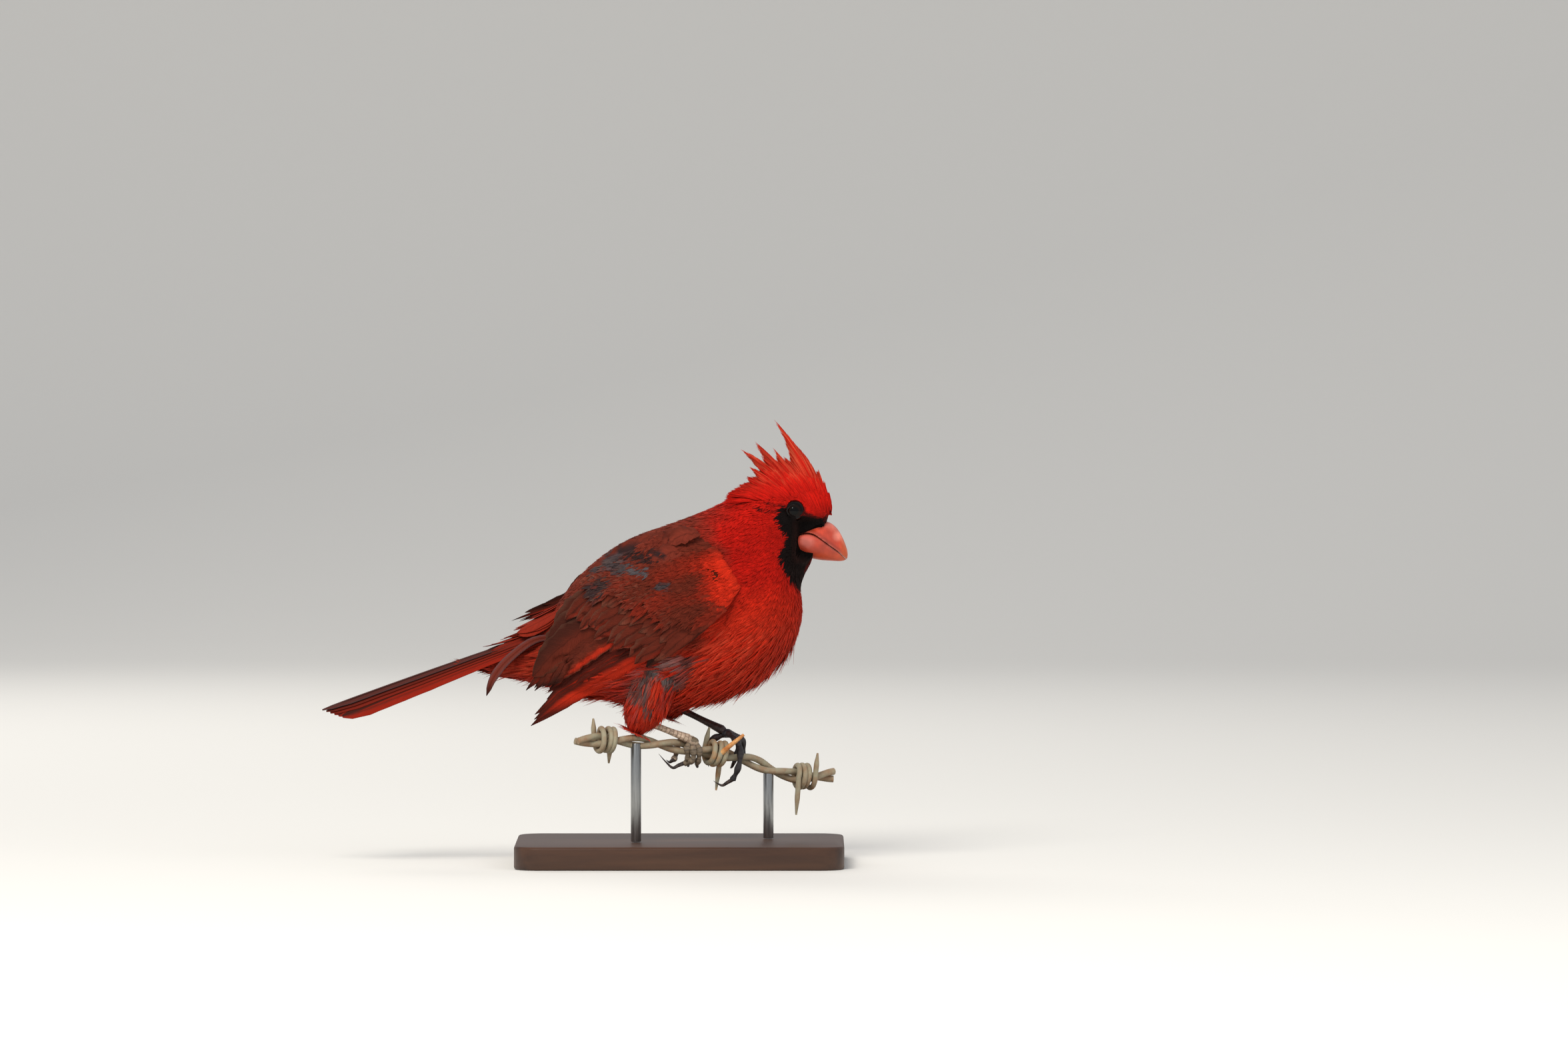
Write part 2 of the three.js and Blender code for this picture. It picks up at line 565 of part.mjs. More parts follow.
// One wing: its shoulder with the coverts, its secondaries with the tertials, and its primaries.
function wing(name, trunk) {
  const shape = WINGS[name];
  const row = (r, ...form) => Array.from({ length: r.count }, (_, k) => wingFeather(shape, r, k, ...form));
  const coverts = [COVERT_ROWS.greater, COVERT_ROWS.median]
    .flatMap((r) => row(r, COVERT_STATIONS, COVERT_TIP, [-1, 1]));
  const hole = wingShell(shape, GAP);
  const rows = FLIGHT_ROWS;
  const inner = fuse([rootBar(shape, rows.secondaries.bar), ...row(rows.secondaries),
    ...row(rows.tertials)]);
  const outer = fuse([rootBar(shape, rows.primaries.bar), ...row(rows.primaries)]);
  return {
    shoulder: largest(fuse([wingShell(shape), ...coverts]).subtract(trunk)),
    secondaries: largest(inner.subtract(hole).subtract(trunk)),
    primaries: largest(outer.subtract(hole).subtract(trunk)),
  };
}

const P = ([x, y, z]) => V(x, y, z);

function leg(name) {
  const shape = LEGS[name];
  const hip = P(shape.hip);
  const knee = P(shape.knee);
  const joint = P(shape.joint);
  const down = knee.clone().sub(hip);
  const thighEnd = knee.clone().addScaledVector(down.normalize(), 5.5);
  const thighOf = (grow) =>
    bar([hip, hip.clone().lerp(knee, 0.5), thighEnd],
      (s) => shape.thigh * (1 - 0.5 * s ** 1.6)
        * Math.min(1, 2.2 * Math.sqrt(s + 0.02), 2.4 * Math.sqrt(1.03 - s)) + grow,
      14, 12, grow);
  const shankAt = (grow) =>
    bar([knee, joint],
      (s) => SHANK_RADIUS * (1.12 - 0.45 * Math.sin(Math.PI * Math.min(s * 1.1, 1))) + grow,
      10, 8, grow);
  const toes = {};
  const claws = {};
  for (const [toe, { path, claw }] of Object.entries(shape.toes)) {
    const points = path.map(P);
    const wave = (s) => 1 + TOE.pad * Math.cos(2 * Math.PI * (path.length - 1) * 0.8 * s);
    toes[toe] = bar(points, (s) => (TOE.radius + (TOE.end - TOE.radius) * s) * wave(s), TOE.sides,
      2 + 2 * path.length);
    const end = points[points.length - 1];
    const [middle, tip] = claw.map(P);
    const root = end.clone().addScaledVector(middle.clone().sub(end).normalize(), -0.4);
    claws[toe] = (grow) => bar([root, middle, tip], (s) => CLAW.radius * (1 - 0.93 * s ** 1.3) + grow,
      CLAW.sides, 6, grow);
  }
  const ball = new THREE.SphereGeometry(SHANK_RADIUS * 1.2, 10, 8);
  ball.translate(joint.x, joint.y, joint.z);
  return { thighOf, shankAt, foot: fuse([solid(ball), ...Object.values(toes)]), claws, joint, knee };
}

// The wire: two strands twisted round a shared line, and barbs wound round both.
const wireCurve = new THREE.CatmullRomCurve3(WIRE.line.map(([x, z]) => V(x, x * WIRE.away, z)), false,
  "centripetal");
const wireLength = wireCurve.getLength();

function wireFrame(share) {
  const at = wireCurve.getPointAt(THREE.MathUtils.clamp(share, 0, 1));
  const along = wireCurve.getTangentAt(THREE.MathUtils.clamp(share, 0, 1));
  const side = V(0, 0, 0).crossVectors(along, V(0, 0, 1)).normalize();
  return { at, along, side, up: V(0, 0, 0).crossVectors(side, along) };
}

function strand(phase, grow = 0) {
  const points = Array.from({ length: WIRE.steps + 1 }, (_, i) => {
    const share = i / WIRE.steps;
    const { at, side, up } = wireFrame(share);
    const angle = ((share * wireLength) / WIRE.turn) * 2 * Math.PI + phase;
    const r = WIRE.strand + GAP / 2 + 0.05;
    return at.addScaledVector(side, r * Math.cos(angle)).addScaledVector(up, r * Math.sin(angle));
  });
  const path = new THREE.CatmullRomCurve3(points, false, "centripetal");
  const circle = new THREE.Shape(
    Array.from({ length: WIRE.sides }, (_, i) => {
      const a = (i / WIRE.sides) * 2 * Math.PI;
      return new THREE.Vector2((WIRE.strand + grow) * Math.cos(a), (WIRE.strand + grow) * Math.sin(a));
    }),
  );
  return solid(new THREE.ExtrudeGeometry(circle,
    { steps: WIRE.steps, extrudePath: path, bevelEnabled: false }));
}

function shareAtX(x) {
  let low = 0;
  let high = 1;
  while (high - low > 1e-4) {
    const middle = (low + high) / 2;
    if (wireCurve.getPointAt(middle).x < x) low = middle;
    else high = middle;
  }
  return low;
}

// A barb: a short thick wire wound round both strands, whose two cut ends stick out.
function barb({ at, turns, rear, front }, grow = 0) {
  const centre = shareAtX(at);
  const winding = 2 * WIRE.strand + GAP + BARB.radius + 0.35;
  const spin = rear[0] + 90;
  const total = turns * 360 + (((front[0] - 90 - spin - turns * 360) % 360) + 360) % 360;
  const steps = Math.round(total / 42);
  const points = [];
  for (let i = 0; i <= steps; i++) {
    const angle = rad(spin + (total * i) / steps);
    const shift = ((i / steps - 0.5) * BARB.pitch * total) / 360;
    const { at: c, side, up } = wireFrame(centre + shift / wireLength);
    points.push(c.addScaledVector(side, winding * Math.cos(angle))
      .addScaledVector(up, winding * Math.sin(angle)));
  }
  const leave = (angle, end, length, outward) => {
    const { side, up } = wireFrame(centre);
    const away = V(0, 0, 0).addScaledVector(side, Math.cos(rad(angle)))
      .addScaledVector(up, Math.sin(rad(angle)));
    return end.clone().addScaledVector(away, outward * length);
  };
  const first = leave(rear[0], points[0], rear[1], 1);
  const last = leave(front[0], points[points.length - 1], front[1], 1);
  const line = [first, first.clone().lerp(points[0], 0.5), ...points,
    points[points.length - 1].clone().lerp(last, 0.5), last];
  const taper = (s) => BARB.radius * Math.min(1, 0.25 + 18 * Math.min(s, 1 - s));
  return bar(line, (s) => taper(s) + grow, BARB.sides, steps + 8, grow);
}

function baseBlock() {
  const { length, width, height, corner, chamfer } = BASE;
  const x = length / 2 - chamfer;
  const y = width / 2 - chamfer;
  const r = corner;
  const shape = new THREE.Shape();
  shape.moveTo(-x + r, -y);
  shape.lineTo(x - r, -y).absarc(x - r, -y + r, r, -Math.PI / 2, 0);
  shape.lineTo(x, y - r).absarc(x - r, y - r, r, 0, Math.PI / 2);
  shape.lineTo(-x + r, y).absarc(-x + r, y - r, r, Math.PI / 2, Math.PI);
  shape.lineTo(-x, -y + r).absarc(-x + r, -y + r, r, Math.PI, 1.5 * Math.PI);
  const geometry = new THREE.ExtrudeGeometry(shape, {
    depth: height - 2 * chamfer, bevelEnabled: true, bevelThickness: chamfer, bevelSize: chamfer,
      bevelSegments: 1, curveSegments: 3,
  });
  geometry.translate(-PERCH.x, -PERCH.y, chamfer - PERCH.z);
  return solid(geometry);
}

function rod(x) {
  const { at } = wireFrame(shareAtX(x));
  const floor = BASE.height + GAP - PERCH.z;
  const geometry = new THREE.CylinderGeometry(ROD.radius, ROD.radius, at.z - floor, ROD.sides);
  geometry.rotateX(Math.PI / 2);
  geometry.translate(at.x, at.y, (at.z + floor) / 2);
  return solid(geometry);
}

const COLOURS = {
  red: { color: 0xb5140c, roughness: 0.75 },
  darkRed: { color: 0x5a211c, roughness: 0.75 },
  tail: { color: 0x7a1d18, roughness: 0.7 },
  bill: { color: 0xd2452f, roughness: 0.4 },
  eye: { color: 0x0a0806, roughness: 0.08 },
  leg: { color: 0x4a2a22, roughness: 0.6 },
  claw: { color: 0x1d1512, roughness: 0.4 },
  wire: { color: 0x8d8472, roughness: 0.7, metalness: 0.4 },
  base: { color: 0x4a3423, roughness: 0.5 },
  rod: { color: 0xa8a9a6, roughness: 0.35, metalness: 0.9 },
};

const bird = new THREE.Group();
bird.position.copy(PERCH);
const model = new THREE.Group();
model.add(bird);

function add(name, made, colour) {
  const mesh = new THREE.Mesh(geometryOf(made), new THREE.MeshStandardMaterial(COLOURS[colour]));
  mesh.name = name;
  bird.add(mesh);
}

// The perch comes first, because feet and rods are cut to fit it.
const strands = { perch_strand_a: strand(0), perch_strand_b: strand(Math.PI) };
const grownStrands = [strand(0, GAP), strand(Math.PI, GAP)];
const clearOfWire = (made) => largest(grownStrands.reduce((a, b) => a.subtract(b), made));
const barbs = Object.fromEntries(Object.entries(BARBS).map(([name, shape]) => [name, barb(shape)]));
for (const [name, made] of Object.entries(strands)) add(name, made, "wire");
for (const [name, made] of Object.entries(barbs)) add(name, clearOfWire(made), "wire");

const legs = { right: leg("right"), left: leg("left") };
const thighs = {};
for (const [name, l] of Object.entries(legs)) {
  thighs[name] = { node: largest(l.thighOf(0).subtract(l.shankAt(GAP))), grown: l.thighOf(GAP + 0.15) };
}

// The trunk, whole, then parted at the nape, the shoulders and the rump.
const whole = body(0);
const trunkGrown = body(GAP + 0.1).add(thighs.right.grown).add(thighs.left.grown);
let carved = whole.subtract(thighs.right.grown).subtract(thighs.left.grown);
for (const cut of Object.values(CUTS)) carved = carved.subtract(slab(cut));
const pieces = carved
  .decompose()
  .sort((a, b) => b.volume() - a.volume())
  .slice(0, 4)
  .sort((a, b) => b.boundingBox().max[0] - a.boundingBox().max[0]);
let [head, neck, torso, rump] = pieces;

const crest = CREST.flatMap((feather) =>
  (feather[3] ? [-1, 1] : [0]).map((side) => crestFeather(feather, side)));
head = fuse([head, eyelid(-1), eyelid(1), ...crest]);
head = largest(head.subtract(bill(GAP + 0.15)).subtract(eyeball(-1, GAP)).subtract(eyeball(1, GAP)));
add("head", head, "red");
add("neck", neck, "red");
add("torso", torso, "red");
add("eye_right", eyeball(-1), "eye");
add("eye_left", eyeball(1), "eye");
const { upper, lower } = billHalves();
add("bill_upper", upper, "bill");
add("bill_lower", lower, "bill");

// The rump carries the tail: twelve feathers fanned from its end.
const rectrices = Array.from({ length: TAIL.pairs },
  (_, pair) => [tailFeather(pair, -1), tailFeather(pair, 1)]).flat();
const tailCut = [-66, 38, 20];
const behind = solid(new THREE.BoxGeometry(200, 200, 200).translate(-100 - GAP / 2, 0, 0)
  .rotateY(-rad(tailCut[2])).translate(tailCut[0], 0, tailCut[1]));
const tailRoot = rump.intersect(behind);
const rumpFront = rump.subtract(behind).subtract(slab(tailCut));
add("rump", largest(rumpFront), "red");
add("tail", largest(fuse([tailRoot, ...[...rectrices, looseFeather()].map((f) => f.intersect(behind))])),
  "tail");

for (const name of Object.keys(WINGS)) {
  const made = wing(name, trunkGrown);
  add(`wing_${name}_shoulder`, made.shoulder, "darkRed");
  add(`wing_${name}_secondaries`, made.secondaries, "darkRed");
  add(`wing_${name}_primaries`, made.primaries, "darkRed");
}

const grownBarbs = Object.values(BARBS).map((shape) => barb(shape, GAP + 0.05));
const clearOfBarbs = (made) => grownBarbs.reduce((a, b) => a.subtract(b), made);
for (const [name, l] of Object.entries(legs)) {
  add(`thigh_${name}`, thighs[name].node, "red");
  const ankle = new THREE.SphereGeometry(SHANK_RADIUS * 1.2 + GAP, 10, 8);
  ankle.translate(l.joint.x, l.joint.y, l.joint.z);
  const shank = largest(l.shankAt(0).subtract(solid(ankle)));
  add(`shank_${name}`, shank, "leg");
  let foot = l.foot.subtract(l.shankAt(GAP));
  for (const claw of Object.values(l.claws)) foot = foot.subtract(claw(GAP));
  add(`foot_${name}`, clearOfWire(clearOfBarbs(foot)), "leg");
  for (const [toe, claw] of Object.entries(l.claws)) {
    add(`claw_${name}_${toe}`, clearOfWire(clearOfBarbs(claw(0))), "claw");
  }
}

add("stand_base", baseBlock(), "base");
ROD.along.forEach((x, i) => add(`stand_rod_${["rear", "front"][i]}`, clearOfWire(rod(x)), "rod"));

export default model;
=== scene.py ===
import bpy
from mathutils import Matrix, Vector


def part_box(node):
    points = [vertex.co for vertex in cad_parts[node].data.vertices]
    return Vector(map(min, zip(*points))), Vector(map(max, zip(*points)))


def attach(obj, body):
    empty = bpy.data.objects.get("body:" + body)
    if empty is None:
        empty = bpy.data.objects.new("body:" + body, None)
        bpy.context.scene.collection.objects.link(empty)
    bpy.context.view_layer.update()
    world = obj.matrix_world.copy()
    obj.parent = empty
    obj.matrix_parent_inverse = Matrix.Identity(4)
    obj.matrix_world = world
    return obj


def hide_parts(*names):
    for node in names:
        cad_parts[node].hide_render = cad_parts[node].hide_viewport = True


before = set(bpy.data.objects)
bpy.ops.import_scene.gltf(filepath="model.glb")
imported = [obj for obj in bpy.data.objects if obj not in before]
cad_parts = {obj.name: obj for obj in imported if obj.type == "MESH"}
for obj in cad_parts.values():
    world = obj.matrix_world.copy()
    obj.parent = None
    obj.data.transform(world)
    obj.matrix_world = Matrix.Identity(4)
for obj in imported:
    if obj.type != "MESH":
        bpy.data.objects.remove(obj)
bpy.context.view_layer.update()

import math

import bpy
import numpy as np
from bpy.props import FloatProperty, FloatVectorProperty, IntProperty, PointerProperty
from mathutils import Vector

bl_info = {
    "name": "Perched Cardinal",
    "version": (1, 0, 0),
    "blender": (4, 5, 0),
    "location": "View3D > Sidebar > Cardinal",
    "description": "A life-size northern cardinal on a cut length of barbed wire, feather by feather",
    "category": "Object",
}

# Sizes below are millimetres, measured from the point on the perch between the feet: x towards the bill,
# z up, y to the bird's left. PERCH is that point, measured from the middle of the base's underside.
PERCH = np.array([14.0, 0.0, 44.0])
TAU = 2 * math.pi

# Ovals along the spine, face to tail root: x, z of the top, x, z of the bottom, half the width.
BODY_OVALS = np.array([
    [45.2, 96.4, 44.0, 92.0, 0.5],
    [45.0, 98.6, 40.6, 80.5, 4.2],
    [43.2, 100.6, 38.4, 75.2, 6.9],
    [39.4, 102.2, 36.4, 71.6, 9.4],
    [33.0, 103.8, 34.4, 67.8, 11.9],
    [24.6, 104.0, 33.2, 63.2, 13.9],
    [15.4, 102.6, 33.8, 57.8, 16.2],
    [6.0, 98.9, 33.6, 51.5, 18.9],
    [-6.0, 93.2, 31.2, 43.6, 21.9],
    [-20.0, 88.0, 25.6, 35.0, 24.4],
    [-33.0, 83.2, 15.0, 25.6, 25.2],
    [-44.0, 76.6, -2.0, 18.6, 24.2],
    [-53.0, 68.6, -22.0, 16.6, 20.6],
    [-60.0, 60.0, -40.0, 19.4, 15.8],
    [-65.0, 52.6, -55.0, 23.6, 11.6],
    [-70.0, 47.4, -66.0, 26.6, 8.6],
    [-77.0, 43.0, -76.0, 28.2, 6.4],
    [-84.0, 38.8, -86.0, 30.4, 4.6],
    [-91.0, 34.6, -91.4, 32.2, 0.8],
])
BACK_NARROWING = 0.12
FACE_HALF_WIDTH = 5.3
EYE = (30.6, 94.1)
EYE_SEEN = 2.42
LIDS_REACH = 2.45
# In the side view (x, z): the black of face and bib, and the part of the bill that no feather covers.
MASK = [
    (26.7, 94.6), (28.3, 96.6), (31.2, 97.2), (33.8, 95.6), (34.9, 93.4), (38.0, 91.8), (41.0, 91.1),
    (43.6, 91.7), (46.0, 91.4), (46.0, 88.0), (44.4, 76.0), (37.6, 74.9), (36.6, 70.6), (34.6, 66.6),
    (33.0, 66.4), (30.4, 70.8), (28.7, 74.2), (27.2, 78.4), (29.4, 82.0), (29.8, 84.5), (29.0, 87.4),
    (27.4, 90.2), (26.6, 92.4),
]
BARE_BILL = [
    (32.2, 84.4), (35.0, 86.2), (37.4, 87.8), (39.6, 89.2), (44.2, 90.6), (60, 90), (60, 70),
    (37.2, 75.2), (31.9, 78.4),
]
# How wide each kind of feather is, at shares of its length.
OUTLINES = {
    "tuft": ([0, 0.35, 0.75, 1], [0.55, 1.0, 0.8, 0.12]),
    "down": ([0, 0.35, 0.75, 1], [0.5, 1.0, 0.75, 0.1]),
    "crest": ([0, 0.3, 0.6, 0.85, 1], [0.6, 1.0, 0.72, 0.34, 0.05]),
    "flight": ([0, 0.25, 0.6, 0.8, 0.92, 1], [0.35, 0.8, 1.0, 0.74, 0.36, 0.03]),
    "tertial": ([0, 0.25, 0.6, 0.84, 0.95, 1], [0.35, 0.8, 1.0, 0.82, 0.45, 0.06]),
    "covert": ([0, 0.3, 0.55, 0.8, 0.92, 1], [0.4, 0.9, 1.0, 0.76, 0.44, 0.05]),
    "tail": ([0, 0.25, 0.6, 0.88, 0.96, 1], [0.4, 0.72, 0.95, 1.0, 0.72, 0.2]),
    "tail covert": ([0, 0.3, 0.65, 0.86, 1], [0.5, 0.95, 1.0, 0.66, 0.05]),
    "loose": ([0, 0.3, 0.7, 0.9, 1], [0.5, 0.9, 1.0, 0.6, 0.05]),
}
# A feather's own map shows this many millimetres across and along it.
MAP_ACROSS, MAP_ALONG = 40, 130


def linear(code):
    """A colour written as a hex code, in linear light."""
    parts = [int(code[i : i + 2], 16) / 255 for i in (1, 3, 5)]
    return tuple(((c + 0.055) / 1.055) ** 2.4 if c > 0.04045 else c / 12.92 for c in parts)


def hex_tint(code):
    """The same as an array, to reckon with."""
    return np.array(linear(code))


def colour(name, description, code):
    return FloatVectorProperty(
        name=name, description=description, subtype="COLOR", size=3, min=0, max=1, default=linear(code)
    )


def length(name, description, default):
    return FloatProperty(
        name=name, description=description, default=default / 1000, min=0, unit="LENGTH", precision=5
    )


class CARDINAL_PG_plumage(bpy.types.PropertyGroup):
    """Sizes and colours of the feathers."""

    coat_depth: length("Coat depth", "How far the skin lies inside the feathers' surface", 1.8)
    face_feather: length("Face feather", "Length of the shortest feathers, beside the bill", 2.2)
    body_feather: length("Body feather", "Length of the feathers of breast and back", 8.5)
    tufts: IntProperty(
        name="Small feathers", description="How many small feathers the body has", default=41000, min=1000
    )
    red: colour("Head red", "Head, crest and throat", "#b71409")
    breast: colour("Breast red", "Breast and belly", "#bd2610")
    pale: colour("Pale red", "Worn pinkish tips of crest and breast", "#dd5a3c")
    mantle: colour("Mantle", "Dull red of the back", "#6a281b")
    slate: colour("Slate", "Grey down that shows between the feathers", "#54585b")
    mask: colour("Mask", "Black of face and bib", "#0b0807")
    covert: colour("Coverts", "Brownish red of the wing's coverts", "#5a2013")
    edge: colour("Red edges", "Outer edges of the flight feathers", "#a3240f")
    flight: colour("Flight feathers", "Dark vanes of wing and tail", "#2f150e")


class CARDINAL_PG_bare_parts(bpy.types.PropertyGroup):
    """Sizes and colours of bill, eyes and legs."""

    bill: colour("Bill", "Coral red horn", "#b23c26")
    # bill_shine is painted highlight: on the top towards the ridge, the gleam on the upper half and the spot
    # on the lower half near the gape; it also paints the paler edges along the mouth.
    bill_shine: colour("Bill ridge", "Paler pink of the ridge and edges", "#cf7663")
    iris: colour("Iris", "Dark brown ring of the eye", "#140a06")
    eye_radius: length("Eye radius", "Radius of the eyeball", 4.2)
    # The left shank and foot, on the far side, are painted much darker than the right ones: painted shade.
    shank_near: colour("Right shank", "Pale worn scales of the right leg", "#b7a08a")
    shank_far: colour("Left shank", "Dark scales of the left leg", "#33201a")
    claw: colour("Claws", "Horn of the claws", "#231a18")


class CARDINAL_PG_display(bpy.types.PropertyGroup):
    """Sizes and colours of the wire and the stand."""

    strand: length("Strand radius", "Radius of each strand of the wire", 1.32)
    zinc: colour("Zinc", "Weathered zinc coat of the wire", "#968e76")
    rust: colour("Rust", "Rust on the wire", "#8a5a36")
    wood: colour("Base wood", "Dark wood of the base", "#4a2f1e")
    steel: colour("Rod steel", "Steel of the rods", "#a9aaa8")
    floor: colour("Floor", "Pale floor", "#d9d6cf")


# Shapes


def spline(points, share):
    """Points on a smooth line through the given ones, at shares of its whole length."""
    points = np.asarray(points, float)
    n = len(points) - 1
    q = np.clip(share, 0, 1) * n
    i = np.minimum(q.astype(int), n - 1)
    f = (q - i)[..., None]
    p1, p2 = points[i], points[i + 1]
    p0 = np.where((i > 0)[..., None], points[np.maximum(i - 1, 0)], 2 * points[0] - points[1])
    p3 = np.where((i + 2 <= n)[..., None], points[np.minimum(i + 2, n)], 2 * points[n] - points[n - 1])
    m1, m2 = (p2 - p0) / 2, (p3 - p1) / 2
    return p1 + m1 * f + (3 * (p2 - p1) - 2 * m1 - m2) * f**2 + (2 * (p1 - p2) + m1 + m2) * f**3


def unit(v):
    return v / np.maximum(np.linalg.norm(v, axis=-1, keepdims=True), 1e-9)


def smooth(low, high, value):
    s = np.clip((value - low) / (high - low), 0, 1)
    return s * s * (3 - 2 * s)


def blend(a, b, share):
    return a + (b - a) * share


def lay_over(shade, colour, amount):
    """A colour laid over a shade, by the amount at each place."""
    return blend(shade, colour, np.asarray(amount)[..., None])


def plain(places, colour):
    """One colour at every place."""
    return np.ones((*places.shape[:-1], 3)) * colour


def outline(kind, s):
    return np.interp(s, *OUTLINES[kind])


def even_pairs(count):
    """Pairs of numbers from 0 to 1 that fill a square evenly."""
    k = np.arange(count)
    return (0.5 + k * 0.7548776662466927) % 1, (0.5 + k * 0.5698402909980532) % 1


def feather_net(rows, columns, low=-1, high=1):
    """Shares along a feather and places across it, on a net."""
    return np.meshgrid(np.linspace(0, 1, rows), np.linspace(low, high, columns), indexing="ij")


def ripple(p, size, seed):
    """Smooth seeded noise, about -1 to 1, with features of the given size."""
    rng = np.random.default_rng(seed)
    waves = rng.normal(size=(9, 3)) * (TAU / size / 2.2)
    shift = rng.uniform(0, TAU, 9)
    return np.sin(np.asarray(p) @ waves.T + shift).sum(-1) / 4.2


def body_at(t, a, sink=0.0):
    """The body's surface at share t from face to tail and angle a round it, 90 degrees being the back."""
    o = spline(BODY_OVALS, t)
    half = (o[..., 0:2] - o[..., 2:4]) / 2
    depth = np.linalg.norm(half, axis=-1)
    up = half / depth[..., None]
    width = np.maximum(o[..., 4], 0.3)
    taper = np.minimum(sink, 0.45 * np.minimum(depth, width))
    rise = (depth - taper) * np.sin(a)
    middle = (o[..., 0:2] + o[..., 2:4]) / 2 + up * rise[..., None]
    y = (width - taper) * np.cos(a) * (1 - BACK_NARROWING * np.sin(a))
    x, z = middle[..., 0], middle[..., 1]
    beside_bill = smooth(29.4, 33.4, x) * smooth(73, 77, z) * smooth(92.5, 89, z)
    limit = FACE_HALF_WIDTH - 0.6 * taper
    return np.stack([x, blend(y, np.clip(y, -limit, limit), beside_bill), z], -1)


def bar_at(path, radius, t, a, reference=(0, 1, 0), flat=1.0):
    """A round bar along a path; radius is a function of the share along it."""
    cap, nudge = 0.02, 0.004
    share = np.clip((t - cap) / (1 - 2 * cap), 0, 1)
    at = spline(path, share)
    ahead, behind = np.minimum(share + nudge, 1), np.maximum(share - nudge, 0)
    tangent = unit(spline(path, ahead) - spline(path, behind))
    side = unit(np.cross(tangent, np.asarray(reference, float)))
    up = np.cross(side, tangent)
    r = radius(share) * np.where((t < 1e-6) | (t > 1 - 1e-6), 0, 1)
    return at + side * (r * np.cos(a))[..., None] + up * (flat * r * np.sin(a))[..., None]


def between(net, i, i2, j, j2, f, g):
    """A net's value between four of its places."""
    near = net[i, j] * (1 - f) + net[i2, j] * f
    far = net[i, j2] * (1 - f) + net[i2, j2] * f
    return near * (1 - g) + far * g


class Surface:
    """A closed form as a net of places, outward normals and directions of lie."""

    def __init__(self, place, along=260, around=200):
        self.along, self.around = along, around
        t, a = np.meshgrid(np.linspace(0, 1, along), np.arange(around) / around * TAU, indexing="ij")
        self.place = place(t, a)
        run = np.gradient(self.place, axis=0)
        turn = np.roll(self.place, -1, 1) - np.roll(self.place, 1, 1)
        normal = np.cross(run, turn)
        middle = self.place.mean(1, keepdims=True)
        normal *= np.sign(((self.place - middle) * normal).sum(-1, keepdims=True).mean())
        self.normal = unit(normal)
        self.speed = np.linalg.norm(run, axis=-1) * (along - 1)
        self.lie = unit(run)
        self.cell = np.linalg.norm(np.cross(run, turn / 2), axis=-1)

    def read(self, net, t, a):
        q = np.clip(t, 0.002, 0.998) * (self.along - 1)
        w = (a / TAU % 1) * self.around
        i, j = q.astype(int), w.astype(int) % self.around
        f, g = q - i, w - np.floor(w)
        if net.ndim > 2:
            f, g = f[..., None], g[..., None]
        i2, j2 = np.minimum(i + 1, self.along - 1), (j + 1) % self.around
        return between(net, i, i2, j, j2, f, g)

    def scatter(self, count, weight):
        """Evenly spread places (t, a), denser where weight is larger."""
        share = self.cell * weight
        rows = share.sum(1)
        u, v = even_pairs(count)
        edge = np.concatenate([[0], np.cumsum(rows)]) / rows.sum()
        i = np.clip(np.searchsorted(edge, u) - 1, 0, self.along - 1)
        t = (i + (u - edge[i]) / np.maximum(edge[i + 1] - edge[i], 1e-12)) / self.along
        lanes = np.cumsum(share, 1) / np.maximum(rows, 1e-12)[:, None]
        j = np.searchsorted((lanes + np.arange(self.along)[:, None]).ravel(), i + v) - i * self.around
        j = np.clip(j, 0, self.around - 1)
        before = np.where(j > 0, lanes[i, np.maximum(j - 1, 0)], 0)
        a = (j - 0.5 + (v - before) / np.maximum(lanes[i, j] - before, 1e-12)) / self.around * TAU
        return t, a


BODY = Surface(body_at)
NET_STEP = 0.75


def half_width_net():
    """Half the body's width over its side view, on an even grid."""
    xs, zs = np.arange(-140, 70, NET_STEP), np.arange(-20, 140, NET_STEP)
    x, z = np.meshgrid(xs, zs, indexing="ij")
    best, off, before = np.zeros_like(x), np.full_like(x, 9.0), None
    for o in spline(BODY_OVALS, np.linspace(0, 1, 161)):
        half = (o[0:2] - o[2:4]) / 2
        depth = np.linalg.norm(half)
        up, c = half / depth, (o[0:2] + o[2:4]) / 2
        along = (x - c[0]) * up[1] - (z - c[1]) * up[0]
        s = ((x - c[0]) * up[0] + (z - c[1]) * up[1]) / depth
        if before is not None:
            use = (np.sign(along) != np.sign(before)) & (np.abs(s) < off)
            off = np.where(use, np.abs(s), off)
            wide = max(o[4], 0.3) * np.sqrt(np.maximum(0, 1 - s**2)) * (1 - BACK_NARROWING * s)
            best = np.where(use, wide, best)
        before = along
    return xs, zs, best


NET_X, NET_Z, HALF_WIDTH = half_width_net()
OUTER_EDGE = 9.5
REST = (HALF_WIDTH**4 + OUTER_EDGE**4) ** 0.25
SLOPES = np.gradient(REST, NET_STEP)


def read_net(net, x, z):
    q = np.clip((x - NET_X[0]) / NET_STEP, 0, len(NET_X) - 1.001)
    w = np.clip((z - NET_Z[0]) / NET_STEP, 0, len(NET_Z) - 1.001)
    i, j = q.astype(int), w.astype(int)
    return between(net, i, i + 1, j, j + 1, q - i, w - j)


# Each wing's light share scales its flight feathers' colour; the far wing's 0.6 is painted shade.
WINGS = {
    "right": {"side": -1, "wrist": (1.1, 64.8), "droop": 31, "rise": 1.0, "slim": 1.0, "light": 1.0},
    "left": {"side": 1, "wrist": (3.5, 66.0), "droop": 12, "rise": 0.5, "slim": 0.6, "light": 0.6},
}


